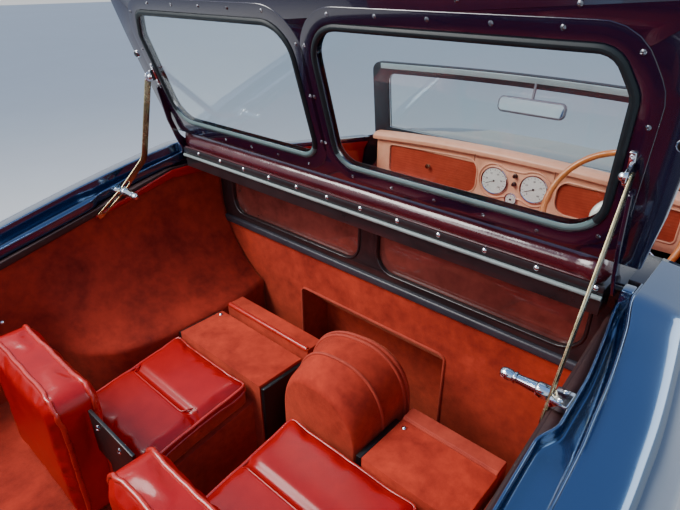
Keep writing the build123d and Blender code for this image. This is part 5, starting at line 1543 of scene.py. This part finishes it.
# Steering wheel: rim with finger swellings, ivory boss and three sprung spokes
turnJoint = [j for j in frame["joints"] if j["name"] == "steering_turn"][0]
wheelCentre, wheelAxis = np.array(turnJoint["pos_m"]), np.array(turnJoint["axis"])
wheel = {"radius": 0.178, "rim": 0.0095, "grips": 28, "spokes": (30, 150, 270), "wire": 0.0026, "gap": 0.009,
         "hub": 0.045, "lift": 0.004, "bow": 0.006, "socketIn": 0.020}
wheelRight = np.array([1.0, 0, 0])
wheelDown = np.cross(wheelAxis, wheelRight)


def wheelRimGrid():
    turn, section = fullTurn(168)[:, None], fullTurn(18)[None, :]
    thick = wheel["rim"] * (1 + 0.035 * np.sin(turn * wheel["grips"]))
    out = np.cos(turn) * wheelRight + np.sin(turn) * wheelDown
    r = wheel["radius"] + thick * np.cos(section) * 0.94
    return wheelCentre + out[:, None] * r[..., None] + wheelAxis * (thick * np.sin(section))[..., None]


settle(loftMesh("wheelRim", wheelRimGrid(), wheelRim, True), "wheel_rim", "steering_wheel",
       body="steering_wheel")
boss = np.array([(30, 0), (30, 36), (20, 46), (8, 52), (-3, 53.5), (-9, 50), (-12, 42), (-13, 31),
                 (-11.5, 28.5), (-14, 26), (-16, 17), (-16, 0)]) * mm
settle(lathe("wheelBoss", boss, wheelCentre, wheelAxis, ivory, 48), "dial_white", body="steering_wheel")
for number, angle in enumerate(wheel["spokes"]):
    out = math.cos(math.radians(angle)) * wheelRight + math.sin(math.radians(angle)) * wheelDown
    across = np.cross(wheelAxis, out)
    for k in (-1, 0, 1):
        t = np.linspace(0, 1, 24)[:, None]
        reach = wheel["hub"] + (wheel["radius"] - wheel["hub"] - 0.004) * t
        bow = wheel["lift"] + wheel["bow"] * np.sin(math.pi * t)
        path = wheelCentre + out * reach + across * k * wheel["gap"] * (1 - 0.25 * t) + wheelAxis * bow
        wire = tube(f"wheelSpoke.{number}.{k + 2}", path, wheel["wire"], chrome, wheelAxis, False, 10)
        settle(wire, "chrome", body="steering_wheel")
    socketAt = wheelCentre + out * (wheel["radius"] - wheel["socketIn"]) + wheelAxis * wheel["lift"]
    socket = np.array([(-0.010, 0.0), (-0.010, 0.009), (-0.006, 0.0125), (0.010, 0.0125), (0.014, 0.0)])
    settle(lathe(f"wheelSocket.{number}", socket, socketAt, out, wheelRim, 20), "wheel_rim",
           body="steering_wheel")
print("wheel made")

# Tail lamps: a domed lens in a plated ring
lamp = {"place": (0.330, -1.290, 0.330), "facing": (0.2, -1, 0.25), "out": 0.030}
lampAxis = Vector(lamp["facing"]).normalized()
lampAt = Vector(lamp["place"]) + lampAxis * lamp["out"]
lensProfile = np.array([(-20, 0), (-20, 33), (24, 33), (32, 28), (38, 16), (40, 0)]) * mm
lens = lathe("tailLens.right", lensProfile, lampAt, lampAxis, lampRed, 40)
bothSides(lens, "lamp_red", "tail_lamps")
ringProfile = np.array([(-20, 34), (-20, 38), (22, 38), (27, 36.5), (28, 34), (24, 33.2)]) * mm
lampRing = turnedRing("tailRing.right", ringProfile, lampAt, lampAxis, chrome, 48)
bothSides(lampRing, "chrome")
print("lamps made")
